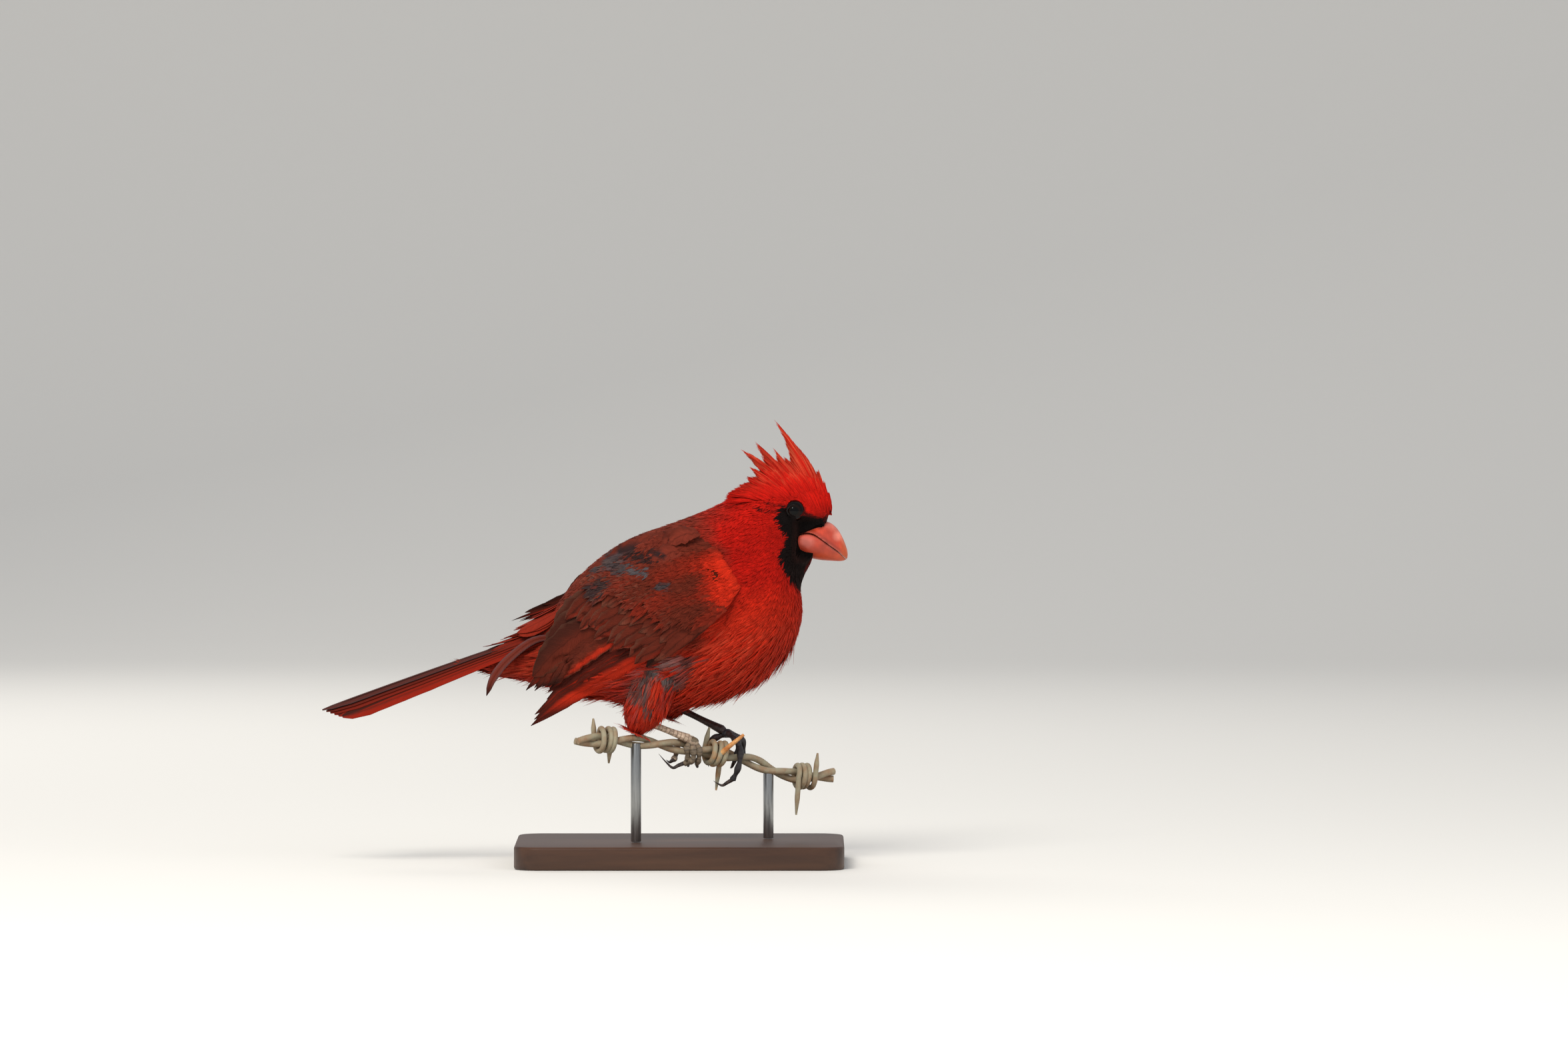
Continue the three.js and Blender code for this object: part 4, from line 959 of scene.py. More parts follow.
class CARDINAL_OT_coat(bpy.types.Operator):
    """Lays the small feathers of head, neck, body and thighs over the skin"""

    bl_idname = "cardinal.coat"
    bl_label = "Small feathers"

    def execute(self, context):
        settings = context.scene.cardinal_plumage
        colours = plumage_colours()
        rng = np.random.default_rng(11)
        size, wide = feather_size(BODY.place, settings)
        weight = 1 / (size * wide) ** 0.85
        weight = np.where(bare(BODY.place) | under_wing(BODY.place), 0, weight)
        t, a = BODY.scatter(settings.tufts, weight)
        order = np.argsort(t)
        names = ("coat_face", "coat_head", "coat_neck", "coat_breast", "coat_body", "coat_rump")
        for name, chosen in zip(names, np.array_split(order, len(names))):
            self.part(name, BODY, t[chosen], a[chosen], settings, colours, rng)
        for side in THIGHS:
            surface = Surface(lambda t, a, side=side: thigh_at(side, t, a), 90, 80)
            t, a = surface.scatter(THIGH_FEATHERS, np.ones_like(surface.cell))
            self.part(f"coat_thigh_{side}", surface, t, a, settings, colours, rng, side)
        return {"FINISHED"}

    def part(self, name, surface, t, a, settings, colours, rng, area="body"):
        n = len(t)
        root = surface.read(surface.place, t, a)
        size, wide = feather_size(root, settings)
        shade, pale, loose, back = plumage_at(root, colours)
        size = size * rng.uniform(0.8, 1.25, n) * blend(1, 1.4, loose)
        wide = wide * rng.uniform(0.75, 1.25, n) * blend(1.0, 0.8, loose) * blend(1, 1.6, back)
        if area != "body":
            size, loose = size * 0.75, loose * 0.5
        near = smooth(4, 26, np.hypot(root[:, 0] - 40, root[:, 2] - 85))
        start = -min(settings.coat_depth * 1000, 1.8) * blend(0.45, 1.0, near) * rng.uniform(0.75, 1.0, n)
        clump = np.maximum(0, ripple(root, 9, 22) - 0.1) * loose
        stop = blend(-0.25, -0.35, near) + rng.uniform(-0.15, 0.4, n) * near + 1.0 * clump
        wild = rng.random(n) ** 7 * blend(0.3, 3.0, loose) * near + 1.9 * clump * rng.random(n)
        yaw = rng.normal(0, 0.1, n) + 0.24 * ripple(root, 8, 21) + 0.12 * ripple(root, 3, 24)
        centre, across, ridge, along, half = lay(surface, t, a, size, wide, wild, yaw, (start, stop))
        s = np.linspace(0, 1, centre.shape[1])[None, :, None]
        vary = 1 + 0.07 * rng.normal(size=(n, 1, 1)) + 0.1 * ripple(root, 3, 25)[:, None, None]
        tip = plumage_at(centre[:, -1], colours)[0]
        black = mask_at(root)[:, None, None]
        # blend(0.86, 1.04, s) paints each feather darker at its root, where it lies under the ones above, and
        # lighter at its tip: painted shade.
        tint = blend(shade[:, None], tip[:, None], s * (1 - black)) * vary * blend(0.86, 1.04, s)
        blush = (pale * rng.random(n) ** 1.2)[:, None, None] * smooth(0.3, 1.0, s)
        tint = blend(tint, colours["pale"], blush * (1 - black))
        root_uv = on_unwrap(np.stack([(a / TAU) % 1, t], -1), area)
        piece = tufts_piece(name, centre, across, ridge, tint, along, half, root_uv)
        finish_piece(piece, down_finish())


# The crest in the side view (x, z): its outline with the points of its locks, the crown that its feathers
# grow on, and their slope in degrees by x.
CREST = [
    (45.1, 91.5), (44.7, 98.5), (44.3, 101.4), (43.2, 101.2), (42.6, 105.9), (41.5, 105.4), (40.0, 110.6),
    (38.9, 109.2), (36.2, 114.5), (33.4, 118.1), (30.6, 121.2), (27.4, 125.6), (23.2, 131.6), (26.9, 122.8),
    (28.4, 117.6), (29.0, 113.6), (26.4, 115.6), (26.8, 113.4), (24.9, 116.6), (20.8, 122.2), (23.5, 116.4),
    (23.7, 113.2), (21.0, 116.6), (14.8, 122.8), (17.4, 116.8), (18.6, 113.0), (15.2, 115.6), (9.8, 118.7),
    (14.2, 113.0), (17.2, 109.4), (12.8, 111.6), (15.6, 107.4), (11.6, 107.4), (12.6, 105.2), (9.4, 104.4),
    (4.0, 100.6), (2, 96), (10, 92), (30, 90),
]
CROWN = [
    (45.0, 92.0), (44.6, 97), (40, 101.5), (33, 103.2), (24, 103.4), (15, 101.6), (13, 98.2), (21, 97.6),
    (27, 98.4), (31.5, 98.6), (36, 95.8), (41, 92.6),
]
SWEEP = ([8, 12, 16, 20, 24, 27, 30, 33, 36, 40, 44], [-20, -14, 2, 24, 38, 46, 52, 57, 62, 70, 84])
CREST_TRIES, CREST_FEATHERS, CREST_ROWS = 16000, 2500, 8
# A feather is walked to the outline in so many steps of this length, and leans back by this angle at each.
WALK_STEPS, WALK_STEP, WALK_LEAN = 90, 0.5, 0.006


class CARDINAL_OT_crest(bpy.types.Operator):
    """Raises the crest: long pointed feathers that sweep up and back from the crown to its tips"""

    bl_idname = "cardinal.crest"
    bl_label = "Crest"

    def execute(self, context):
        colours = plumage_colours()
        rng = np.random.default_rng(5)
        x, z = rng.uniform(12, 45.2, CREST_TRIES), rng.uniform(91, 104, CREST_TRIES)
        grows = inside_of(x, z, CROWN) > -0.2 * rng.random(CREST_TRIES)
        x, z = x[grows][:CREST_FEATHERS], z[grows][:CREST_FEATHERS]
        n = len(x)
        side = np.where(rng.random(n) < 0.5, -1, 1)
        width = read_net(HALF_WIDTH, x, z)
        deep = np.where(rng.random(n) < 0.45, 1.0, rng.random(n))
        stray = rng.normal(0, 2.6, n) + 5 * ripple(np.stack([x, side * 4, z], -1), 7, 71)
        slope = np.radians(np.interp(x, *SWEEP) + stray)

        reach, going = np.zeros(n), np.ones(n, bool)
        px, pz = x.copy(), z.copy()
        for k in range(WALK_STEPS):
            lean = slope - WALK_LEAN * k
            px, pz = px - WALK_STEP * np.cos(lean), pz + WALK_STEP * np.sin(lean)
            going &= inside_of(px, pz, CREST) > 0
            reach += WALK_STEP * going
        part = np.where(rng.random(n) < 0.4, rng.uniform(0.9, 1.0, n), rng.uniform(0.45, 1.0, n))
        long = np.maximum(reach * part, 3.2)
        s = np.linspace(0, 1, CREST_ROWS)
        walk = long[:, None] * s
        lean = slope[:, None] - WALK_LEAN * walk / WALK_STEP
        first, steps = np.zeros((n, 1)), np.diff(walk, axis=1)
        dx = np.concatenate([first, np.cumsum(-np.cos(lean[:, 1:]) * steps, 1)], 1)
        dz = np.concatenate([first, np.cumsum(np.sin(lean[:, 1:]) * steps, 1)], 1)
        cx, cz = x[:, None] + dx, z[:, None] + dz
        free = smooth(0, 9, dz)
        skin = read_net(HALF_WIDTH, cx, cz)
        start = (width * deep)[:, None]
        y = np.maximum(start * (1 - 0.82 * free), (skin + 0.35 * s) * deep[:, None])
        y = y + rng.normal(0, 0.25, n)[:, None] * s
        y = y - 0.9 * (1 - s) ** 3
        centre = np.stack([cx, side[:, None] * y, cz], -1)
        run = unit(np.gradient(centre, axis=1))
        face = np.stack([rng.normal(0.05, 0.2, n), side * np.ones(n), rng.normal(0.25, 0.25, n)], -1)
        face = unit(face)[:, None]
        across = unit(np.cross(run, face))
        ridge = np.cross(across, run)
        ridge = ridge * np.sign((ridge * face).sum(-1, keepdims=True))
        half = (rng.uniform(0.34, 0.62, n) * (0.85 + 0.016 * long))[:, None] * outline("crest", s)
        grade = s[None, :, None]
        # Each lock is painted darker at its root, under the locks and feathers over it: painted shade.
        shade = blend(colours["red"] * 0.82, colours["red"], smooth(0, 0.4, grade))
        shade = shade * rng.uniform(0.84, 1.08, (n, 1, 1))
        blush = (rng.random(n) ** 1.3 * 0.8)[:, None, None] * smooth(0.15, 0.9, grade)
        shade = blend(shade, colours["pale"], blush * smooth(99, 112, cz)[..., None])
        shade = shade * (1 - 0.16 * smooth(0.2, 0.9, ripple(centre, 5, 72)))[..., None]
        across, ridge = across * half[..., None], ridge * (0.2 * half + 0.03)[..., None]
        roots = skin_map(centre[:, 0])
        piece = tufts_piece("crest", centre, across, ridge, shade, walk, half, roots, soft=0.45)
        finish_piece(piece, down_finish(), ("head",))
        return {"FINISHED"}


def feather_row(count, roots, tips, half, lift, tilt, sink, mark):
    """One row of a wing: how many feathers, the first and last root and tip (p, q), and each one's half
    width, height over the body, tilt, sink at the root and kind of marking."""
    return dict(
        count=count, roots=roots, tips=tips, half=half, lift=lift, tilt=tilt, sink=sink, mark=mark
    )


# The rows of a wing, from the body outwards.
WING_ROWS = {
    "primaries": [
        feather_row(9, ((24, -8.5), (30, -1)), ((91, -8.4), (74, 0.4)), 3.7, 2.4, 0.22, 0, "primary"),
        feather_row(7, ((14, -9.5), (20, -3)), ((38, -10.5), (36, -2)), 2.7, 4.2, 0.18, 0, "primary_covert"),
        feather_row(3, ((6, -9), (10, -6)), ((29, -11.5), (24, -8)), 2.6, 4.9, 0.18, 0, "primary_covert"),
    ],
    "secondaries": [
        feather_row(9, ((26, 1.5), (32, 13)), ((72.5, 1.2), (84.5, 3.0)), 3.1, 4.6, 0.2, 0, "secondary"),
        feather_row(3, ((30, 11), (34, 20)), ((79.5, 6.5), (62, 16)), 5.4, 5.5, 0.14, 0, "tertial"),
    ],
    "coverts": [
        feather_row(12, ((18, -9), (26, 20)), ((41, -7.5), (54, 17.0)), 3.1, 7.0, 0.09, 3.0, "greater"),
        feather_row(11, ((10, -8.5), (18, 20)), ((30, -8), (41, 18)), 2.8, 7.2, 0.09, 3.0, "median"),
        feather_row(12, ((6, -9), (12, 21)), ((19, -9), (28, 20)), 2.7, 6.8, 0.16, 2.6, "lesser"),
        feather_row(12, ((2, -8.5), (6, 21)), ((12.5, -9), (19, 20.5)), 2.4, 6.0, 0.14, 2.6, "lesser"),
        feather_row(11, ((-1.5, -6.5), (1, 19)), ((7.5, -8), (11.5, 20)), 2.2, 4.0, 0.12, 2.6, "lesser"),
        feather_row(9, ((-4.5, -3.5), (-3, 15)), ((2.5, -5), (5, 17)), 2.0, 1.9, 0.1, 2.2, "lesser"),
        feather_row(9, ((-4, 20), (16, 27)), ((9, 21), (33, 26)), 3.0, 6.8, 0.1, 3.4, "scapular"),
        feather_row(9, ((4, 17), (24, 25)), ((19, 18), (43, 23)), 3.4, 7.8, 0.1, 3.4, "scapular"),
    ],
}
# Feathers over this length are flight feathers: finer nets, and the far wing's are slimmer and painted
# darker: painted shade.
FLIGHT_LENGTH = 35
# The coverts' height over the body, by p.
COVERT_TOP = ([-8, -4, -1, 4, 12, 20, 40, 50, 56], [0.1, 0.8, 2.1, 4.5, 6.9, 8.0, 8.1, 7.2, 6.4])
# How many small feathers a wing has, and where they end, as p by q.
WING_DOWN = 4600
DOWN_END = ([-9, -3, 4, 10, 15, 19, 25], [14, 19, 24, 27, 32, 36, 38])
WORN_EDGE, WORN_TIP = hex_tint("#70503f"), hex_tint("#7d5a49")


def wing_tint(mark, s, c, colours, rng, place):
    """Colours over one feather: s from root to tip, c from its hidden edge (1) to its shown edge (-1)."""
    dark, brown, red = colours["flight"], colours["covert"], colours["edge"]
    base = {"primary": red * 1.1, "secondary": brown * 1.05, "primary_covert": dark}.get(mark, brown)
    tint = np.ones((*s.shape, 3)) * base
    outer, inner = smooth(-0.15, -0.6, c), smooth(0.35, 0.9, c)
    middle = smooth(0.3, 0.8, s)
    fade = None
    if mark == "primary":
        tint = lay_over(tint, dark * 0.7, 0.85 * smooth(0.3, 0.8, c))
        tint = lay_over(tint, dark * 0.8, 0.9 * smooth(0.7, 0.92, s - 0.1 * c))
    elif mark == "secondary":
        tint = lay_over(tint, red * 1.2, 0.85 * smooth(0.2, -0.25, c) * smooth(1.0, 0.7, s))
        tint = lay_over(tint, dark * 0.9, 0.85 * smooth(-0.62, -0.9, c))
        tint = lay_over(tint, dark * 0.75, smooth(0.84, 1.0, s))
        fade = 0.35 * smooth(-0.93, -1.0, c)
    elif mark == "tertial":
        tint = lay_over(tint, dark * 1.1, 0.75 * smooth(-0.3, 0.5, c))
        fade = 0.35 * smooth(0.85, 1, np.abs(c))
    elif mark == "primary_covert":
        tint = lay_over(tint, brown * 0.9, 0.5 * outer)
    elif mark == "scapular":
        tint = bare_down(place, tint * 0 + colours["mantle"] * 0.95, colours)
    elif mark == "greater":
        tint = lay_over(tint * 0.9, red * 0.6, 0.4 * outer)
        tint = lay_over(tint, dark * 0.9, 0.45 * np.exp(-((c / 0.25) ** 2)) * middle)
        fade = 0.45 * smooth(0.84, 1.05, np.abs(c) * 0.55 + s * 0.55)
    elif mark == "median":
        tint = lay_over(tint, dark, 0.4 * np.exp(-((c / 0.3) ** 2)) * middle)
        fade = 0.4 * smooth(0.8, 1.05, s)
    else:
        tint = lay_over(tint * 1.05, red * 0.85, 0.4 * smooth(-0.5, 0.6, ripple(place, 8, 33)))
    if fade is not None:
        tint = lay_over(tint, WORN_EDGE, fade)
    tint = lay_over(tint, dark, 0.4 * inner)
    return tint * rng.uniform(0.9, 1.1) * (1 + 0.1 * ripple(place, 4, 35))[..., None]


class CARDINAL_OT_wings(bpy.types.Operator):
    """Lays the feathers of both folded wings, row over row"""

    bl_idname = "cardinal.wings"
    bl_label = "Wings"

    def execute(self, context):
        colours = plumage_colours()
        for side, wing in WINGS.items():
            rng = np.random.default_rng(17)
            for name, rows in WING_ROWS.items():
                vanes = Vanes()
                for row in rows:
                    for share in np.arange(row["count"]) / max(row["count"] - 1, 1):
                        self.feather(vanes, wing, row, share, colours, rng)
                piece = vanes.piece(f"wing_{side}_{name}_feathers")
                node = "shoulder" if name == "coverts" else name
                finish_piece(piece, vane_finish(), (f"wing_{side}_{node}",))
            self.down(side, wing, colours, rng)
            # The arm under the coverts is painted in a darkened covert colour: painted shade under the
            # feathers.
            arm = ball_piece(
                f"wing_{side}_arm", 40, 24, lambda t, a, wing=wing: self.arm(wing, t, a),
                lambda p, t, a: plain(p, colours["covert"] * 0.6),
            )
            finish_piece(arm, skin_finish())
        return {"FINISHED"}

    def down(self, side, wing, colours, rng):
        """Soft narrow feathers over the coverts and out over the front edge of the wing."""
        u, v = even_pairs(WING_DOWN)
        p, q = -8 + 46 * u, -9 + 34 * v
        inside = (p > -8 + 0.5 * np.maximum(0, q - 12)) & (q > -9 + 0.5 * np.maximum(0, 2 - p))
        inside &= p < np.interp(q, *DOWN_END) + 4 * ripple(np.stack([p, 0 * p, q], 1), 6, 62)
        p, q = p[inside], q[inside]
        n = len(p)
        s = np.linspace(0, 1, 4)[None]
        size = rng.uniform(4.0, 7.5, n) * blend(0.8, 1.15, u[inside])
        yaw = rng.normal(0.02, 0.13, n) + 0.2 * ripple(np.stack([p, 0 * p, q], 1), 12, 61)
        pp = p[:, None] + size[:, None] * s * np.cos(yaw)[:, None]
        qq = q[:, None] + size[:, None] * s * np.sin(yaw)[:, None]
        base = np.interp(pp, *COVERT_TOP)
        lift = base + blend(-0.5, 0.25, s) + (rng.random(n) ** 4 * 0.7)[:, None] * s**2
        centre = wing_at(wing, pp, qq, lift)
        out = unit(wing_at(wing, pp, qq, lift + 1) - centre)
        run = unit(np.gradient(centre, axis=1))
        half = rng.uniform(0.45, 0.85, n)[:, None] * outline("down", s)
        across = unit(np.cross(run, out)) * half[..., None]
        spot = centre[:, 0]
        front = smooth(6, -6, p + 2.5 * ripple(spot, 6, 34) - 0.2 * np.maximum(0, q - 10)) * smooth(16, 8, q)
        streaks = 0.35 * smooth(-0.4, 0.6, ripple(spot, 8, 33))
        shade = lay_over(colours["covert"], colours["edge"] * 0.8, streaks)
        shade = lay_over(shade, colours["breast"] * blend(0.5, 0.95, front)[:, None], front)
        shade = lay_over(shade, colours["mantle"] * 0.95, smooth(13, 19, q) * 0.9)
        shade = bare_down(spot, shade, colours)
        worn = (rng.random(n) ** 4 * 0.5 * smooth(10, 30, p))[:, None, None] * smooth(0.4, 1, s)[..., None]
        # Each feather is painted darker at its root, where it lies under the others: painted shade.
        tint = shade[:, None] * (0.85 + 0.25 * s[..., None]) * (1 + 0.1 * rng.normal(size=(n, 1, 1)))
        tint = blend(tint, WORN_TIP, worn)
        ridge, along = out * (0.2 * half + 0.02)[..., None], size[:, None] * s
        name = f"wing_{side}_down"
        piece = tufts_piece(name, centre, across, ridge, tint, along, half, skin_map(spot), soft=0.6)
        finish_piece(piece, down_finish())

    def arm(self, wing, t, a):
        reach = np.sin(np.pi * t)
        p = 17 + 20 * reach * np.cos(a)
        q = 7 + 16 * reach * np.sin(a) + 3 * reach * np.cos(a)
        full = np.sqrt(np.maximum(0, 1 - reach**4 * smooth(30, 16, p)))
        return wing_at(wing, p, q, np.where(t < 0.5, 0.4 + 3.6 * full, -0.5))

    def feather(self, vanes, wing, row, share, colours, rng):
        """One feather of a row, at a share of the way from the row's first to its last."""
        mark = row["mark"]
        stray = 1.0 if mark in ("greater", "median") else 0.5
        root = blend(*np.array(row["roots"]), share) + rng.normal(0, 0.3, 2)
        tip = blend(*np.array(row["tips"]), share) + rng.normal(0, stray, 2) * [1.6, 1]
        run = tip - root
        size = np.hypot(*run)
        side = np.array([-run[1], run[0]]) / size
        flight = size > FLIGHT_LENGTH
        s, c = feather_net(26, 9) if flight else feather_net(14, 7)
        kinds = {"primary": "flight", "secondary": "flight", "tertial": "tertial"}
        shape = outline(kinds.get(mark, "covert"), s)
        narrow = np.where(c < 0, 0.85, 1.05)
        off = c * row["half"] * shape * narrow * (wing["slim"] if flight else 1)
        off = off + rng.normal(0, 0.1, off.shape) * (np.abs(c) > 0.7) * shape
        bow = 1.6 * np.sin(np.pi * s) * (1 if flight else 0.3)
        p = root[0] + run[0] * s + side[0] * (off + bow)
        q = root[1] + run[1] * s + side[1] * (off + bow)
        lift = row["lift"] + row["tilt"] * off - row["sink"] * (1 - s) ** 3
        lift = lift - 0.09 * (c * shape) ** 2 * row["half"] / 3
        lift = lift + 0.07 * np.exp(-((c / 0.12) ** 2)) + rng.normal(0, 0.12) * s**2
        top = wing_at(wing, p, q, lift)
        bottom = wing_at(wing, p, q, lift - 0.1)
        # The far wing's flight feathers are painted darker here: painted shade.
        tint = wing_tint(mark, s, c, colours, rng, top) * (wing["light"] if flight else 1)
        vanes.add(top, bottom, tint, off, s * size)


TAIL = {"root": (-62, 48.4), "fall": 18.5, "pairs": 6, "length": 97, "shorter": 1.4, "half": 4.9, "roll": 26}
# How many coverts the tail has, over and under it in turn, and the body's upper and lower edge where they
# grow: x, and z by x.
TAIL_COVERTS = 44
TAIL_TOP = ([-86, -77, -70, -65, -60, -53], [41.0, 44.0, 47.6, 52.4, 58.5, 66])
TAIL_UNDER = ([-91, -76, -66, -55, -40], [32.2, 28.2, 26.6, 23.6, 19.4])
LOOSE_FEATHER = [(-60, -6, 45), (-71, -9.0, 43.5), (-81, -10.2, 36), (-86.5, -10.6, 29), (-89.2, -10.8, 22.0)]


class CARDINAL_OT_tail(bpy.types.Operator):
    """Makes the twelve tail feathers, the coverts over and under them, and the loose feather beside them"""

    bl_idname = "cardinal.tail"
    bl_label = "Tail"

    def execute(self, context):
        colours = plumage_colours()
        rng = np.random.default_rng(23)
        fall = math.radians(TAIL["fall"])
        back = np.array([-math.cos(fall), 0, -math.sin(fall)])
        up = np.array([-math.sin(fall), 0, math.cos(fall)])
        vanes = Vanes()

        def plate(kind, start, grow, across, face, size, half, net, droop, tint_of):
            s, c = feather_net(*net, -0.8, 1.1)
            off = c * half * outline(kind, s) + rng.normal(0, 0.04, c.shape) * (np.abs(c) > 0.78)
            ridge = 0.12 * np.exp(-((off / 0.4) ** 2)) - 0.02 * off**2
            top = start + grow * (size * s)[..., None] + across * off[..., None]
            top = top + up * (droop * s**2)[..., None] + face * ridge[..., None]
            vanes.add(top, top - face * 0.12, tint_of(s, c), off, s * size)

        for pair in range(TAIL["pairs"]):
            for side in (-1, 1):
                turn = math.radians(0.62 * (pair + 0.35)) * side
                grow = back * math.cos(turn) + np.array([0, math.sin(turn), 0])
                tip = math.radians(TAIL["roll"] * (0.35 + 0.18 * pair)) * side
                across = unit(np.array([0, math.cos(tip), 0]) - up * math.sin(tip)) * side
                face = unit(np.cross(across, grow)) * side
                root = np.array([TAIL["root"][0], side * (1.2 + pair * 0.85), TAIL["root"][1]])
                start = root - up * (pair * 0.4 + (0.3 if side > 0 else 0))

                def vane_tint(s, c, pair=pair):
                    inner = blend(colours["mantle"], colours["edge"], min(1, pair / 3))
                    tint = np.ones((*s.shape, 3)) * blend(colours["flight"] * 1.3, colours["mantle"], 0.4)
                    tint = lay_over(tint, inner, smooth(0.2, 0.7, c) * (0.5 + 0.1 * pair))
                    tint = lay_over(tint, colours["flight"] * 0.5, 0.8 * smooth(-0.35, -0.8, c))
                    tint = lay_over(tint, colours["slate"] * 0.8, 0.5 * smooth(0.98, 1.1, c) * (pair == 0))
                    return tint * 0.62 * rng.uniform(0.9, 1.1)

                size = TAIL["length"] - pair * TAIL["shorter"]
                grow = grow - up * 0.0057 * pair
                plate("tail", start, grow, across, face, size, TAIL["half"], (26, 9), -1.5, vane_tint)
        for k in range(TAIL_COVERTS):
            u, v = (k * 0.618 + 0.2) % 1, (k * 0.7549 + 0.4) % 1
            side = 1 if v > 0.5 else -1
            spread = abs(v * 2 - 1)
            if k % 2 == 0:
                x = -59 - 15 * u
                z = np.interp(x, *TAIL_TOP) - 0.3 - 3.0 * spread**2
                over, slope, droop = 1, -0.62 + 0.3 * u, 0.8
                base = blend(colours["mantle"], colours["edge"], 0.45)
            else:
                x = -52 - 24 * u
                z = np.interp(x, *TAIL_UNDER) - 0.2 + 2.6 * spread**2
                over, slope, droop = -1, 0.2, 0.3
                base = blend(colours["edge"], colours["breast"], 0.4)
            start = np.array([x, side * spread * (6.5 - 2.5 * u), z])
            roll = math.radians(50 * spread) * side
            face = unit(over * up * math.cos(roll) + np.array([0, math.sin(roll), 0]))
            grow = unit(np.array([-1, 0.03 * side * spread, slope]))
            across = unit(np.cross(grow, face)) * side
            size, half = rng.uniform(13, 20), rng.uniform(2.2, 3.2)

            def covert_tint(s, c, base=base):
                return np.ones((*s.shape, 3)) * base * rng.uniform(0.6, 0.95)

            plate("tail covert", start, grow, across, face, size, half, (12, 7), droop, covert_tint)
        s, c = feather_net(22, 7)
        centre = spline(LOOSE_FEATHER, s)
        run = unit(np.gradient(centre, axis=0))
        face = np.array([0.15, -1, 0.25]) / 1.04
        across = unit(np.cross(face, run))
        off = c * 1.7 * outline("loose", s)
        top = centre + across * off[..., None] + face * (0.15 - 0.03 * off**2)[..., None]
        tint = blend(colours["mantle"] * 0.9, colours["slate"] * 0.7, 0.5 * np.abs(c)[..., None] ** 2)
        tint = lay_over(tint, colours["flight"], smooth(0.75, 1, s))
        vanes.add(top, top - face * 0.2, tint, off, s * 32)
        finish_piece(vanes.piece("tail_feathers"), vane_finish(), ("tail",))
        return {"FINISHED"}


class CARDINAL_OT_eyes(bpy.types.Operator):
    """Makes the eyes and their dark lids"""

    bl_idname = "cardinal.eyes"
    bl_label = "Eyes"

    def execute(self, context):
        settings = context.scene.cardinal_bare_parts
        radius = settings.eye_radius * 1000
        deep = math.sqrt(radius**2 - EYE_SEEN**2)
        iris = np.array(settings.iris[:])
        pupil = np.array([0.002, 0.002, 0.002])
        lid_finish = once(
            "Lids", worn_finish, linear("#0f0b0a"), linear("#1d1715"), 1500, 0.6, relief=0.6, specular=0.2
        )
        wide = float(read_net(HALF_WIDTH, np.array(EYE[0]), np.array(EYE[1])))
        for name, side in (("right", -1), ("left", 1)):
            centre = np.array([EYE[0], side * (wide - deep + 0.1), EYE[1]])

            def ball(t, a):
                r, out = np.sin(np.pi * t) * radius, side * np.cos(np.pi * t) * radius
                return centre + np.stack([r * np.cos(a), out, r * np.sin(a)], -1)

            def tint(p, t, a):
                r = np.sin(np.pi * t) * radius
                shade = lay_over(pupil, iris, smooth(1.55, 1.8, r))
                return lay_over(shade, iris * 0.25, smooth(2.3, 2.75, r))

            eye = ball_piece(f"eyeball_{name}", 48, 40, ball, tint)
            finish_piece(eye, once("Eye", self.cornea), (f"eye_{name}",))
            lids = join([self.lid(k, side, wide) for k in range(2)], f"lids_{name}")
            finish_piece(lids, lid_finish)
        return {"FINISHED"}

    def lid(self, k, side, wide):
        """A soft ring round the eye with a corner in front and behind; ring 1 lies outside ring 0."""
        deselect()
        bpy.ops.mesh.primitive_torus_add(
            major_segments=96, minor_segments=12,
            major_radius=EYE_SEEN * (1.0, 1.1)[k] + 0.08, minor_radius=0.2 - 0.05 * k,
        )
        ring = bpy.context.object
        co = points_of(ring.data)
        x, z = co[:, 0], co[:, 1] * 0.95
        turn = np.arctan2(z, x)
        swell = 1 + 0.012 * np.sin(7 * turn + k) + 0.01 * np.sin(17 * turn)
        rear = 0.3 * np.exp(-(((np.abs(turn) - math.pi) / 0.3) ** 2))
        corner = rear - 0.15 * np.exp(-((turn / 0.3) ** 2))
        x, z = x * swell - corner, z * swell
        out = wide + 0.05 - 0.22 * k + co[:, 2] - 0.2 * x - 0.03 * z
        move_points(ring.data, np.stack([EYE[0] + x, side * out, EYE[1] + z], -1))
        face_out()
        return ring

    def cornea(self, name):
        material, nodes, links, shader = material_base(name, 0.06, specular=0.14)
        links.new(tint_colour(nodes), shader.inputs["Base Color"])
        return material


# The bill: x and z of the middle, height over it and half width of each oval, from the face to the tip.
BILL_OVALS = np.array([
    [31.0, 83.6, 1.0, 1.0], [32.4, 83.5, 5.0, 6.0], [36.4, 82.9, 7.2, 6.5], [40.2, 82.4, 7.9, 6.4],
    [43.8, 80.9, 7.1, 5.6], [47.0, 78.9, 5.2, 4.2], [49.6, 76.8, 3.0, 2.4], [50.7, 75.8, 1.6, 1.2],
    [51.2, 75.2, 0.3, 0.3],
])
BILL_LEAN = -27
MOUTH = np.array([
    [20, 84.8], [31.9, 84.9], [35.4, 85.3], [38.2, 84.7], [40.8, 83.0], [44.2, 80.4], [47.7, 77.8],
    [50.6, 75.2], [54, 72.6],
])
MOUTH_GAP = 0.12


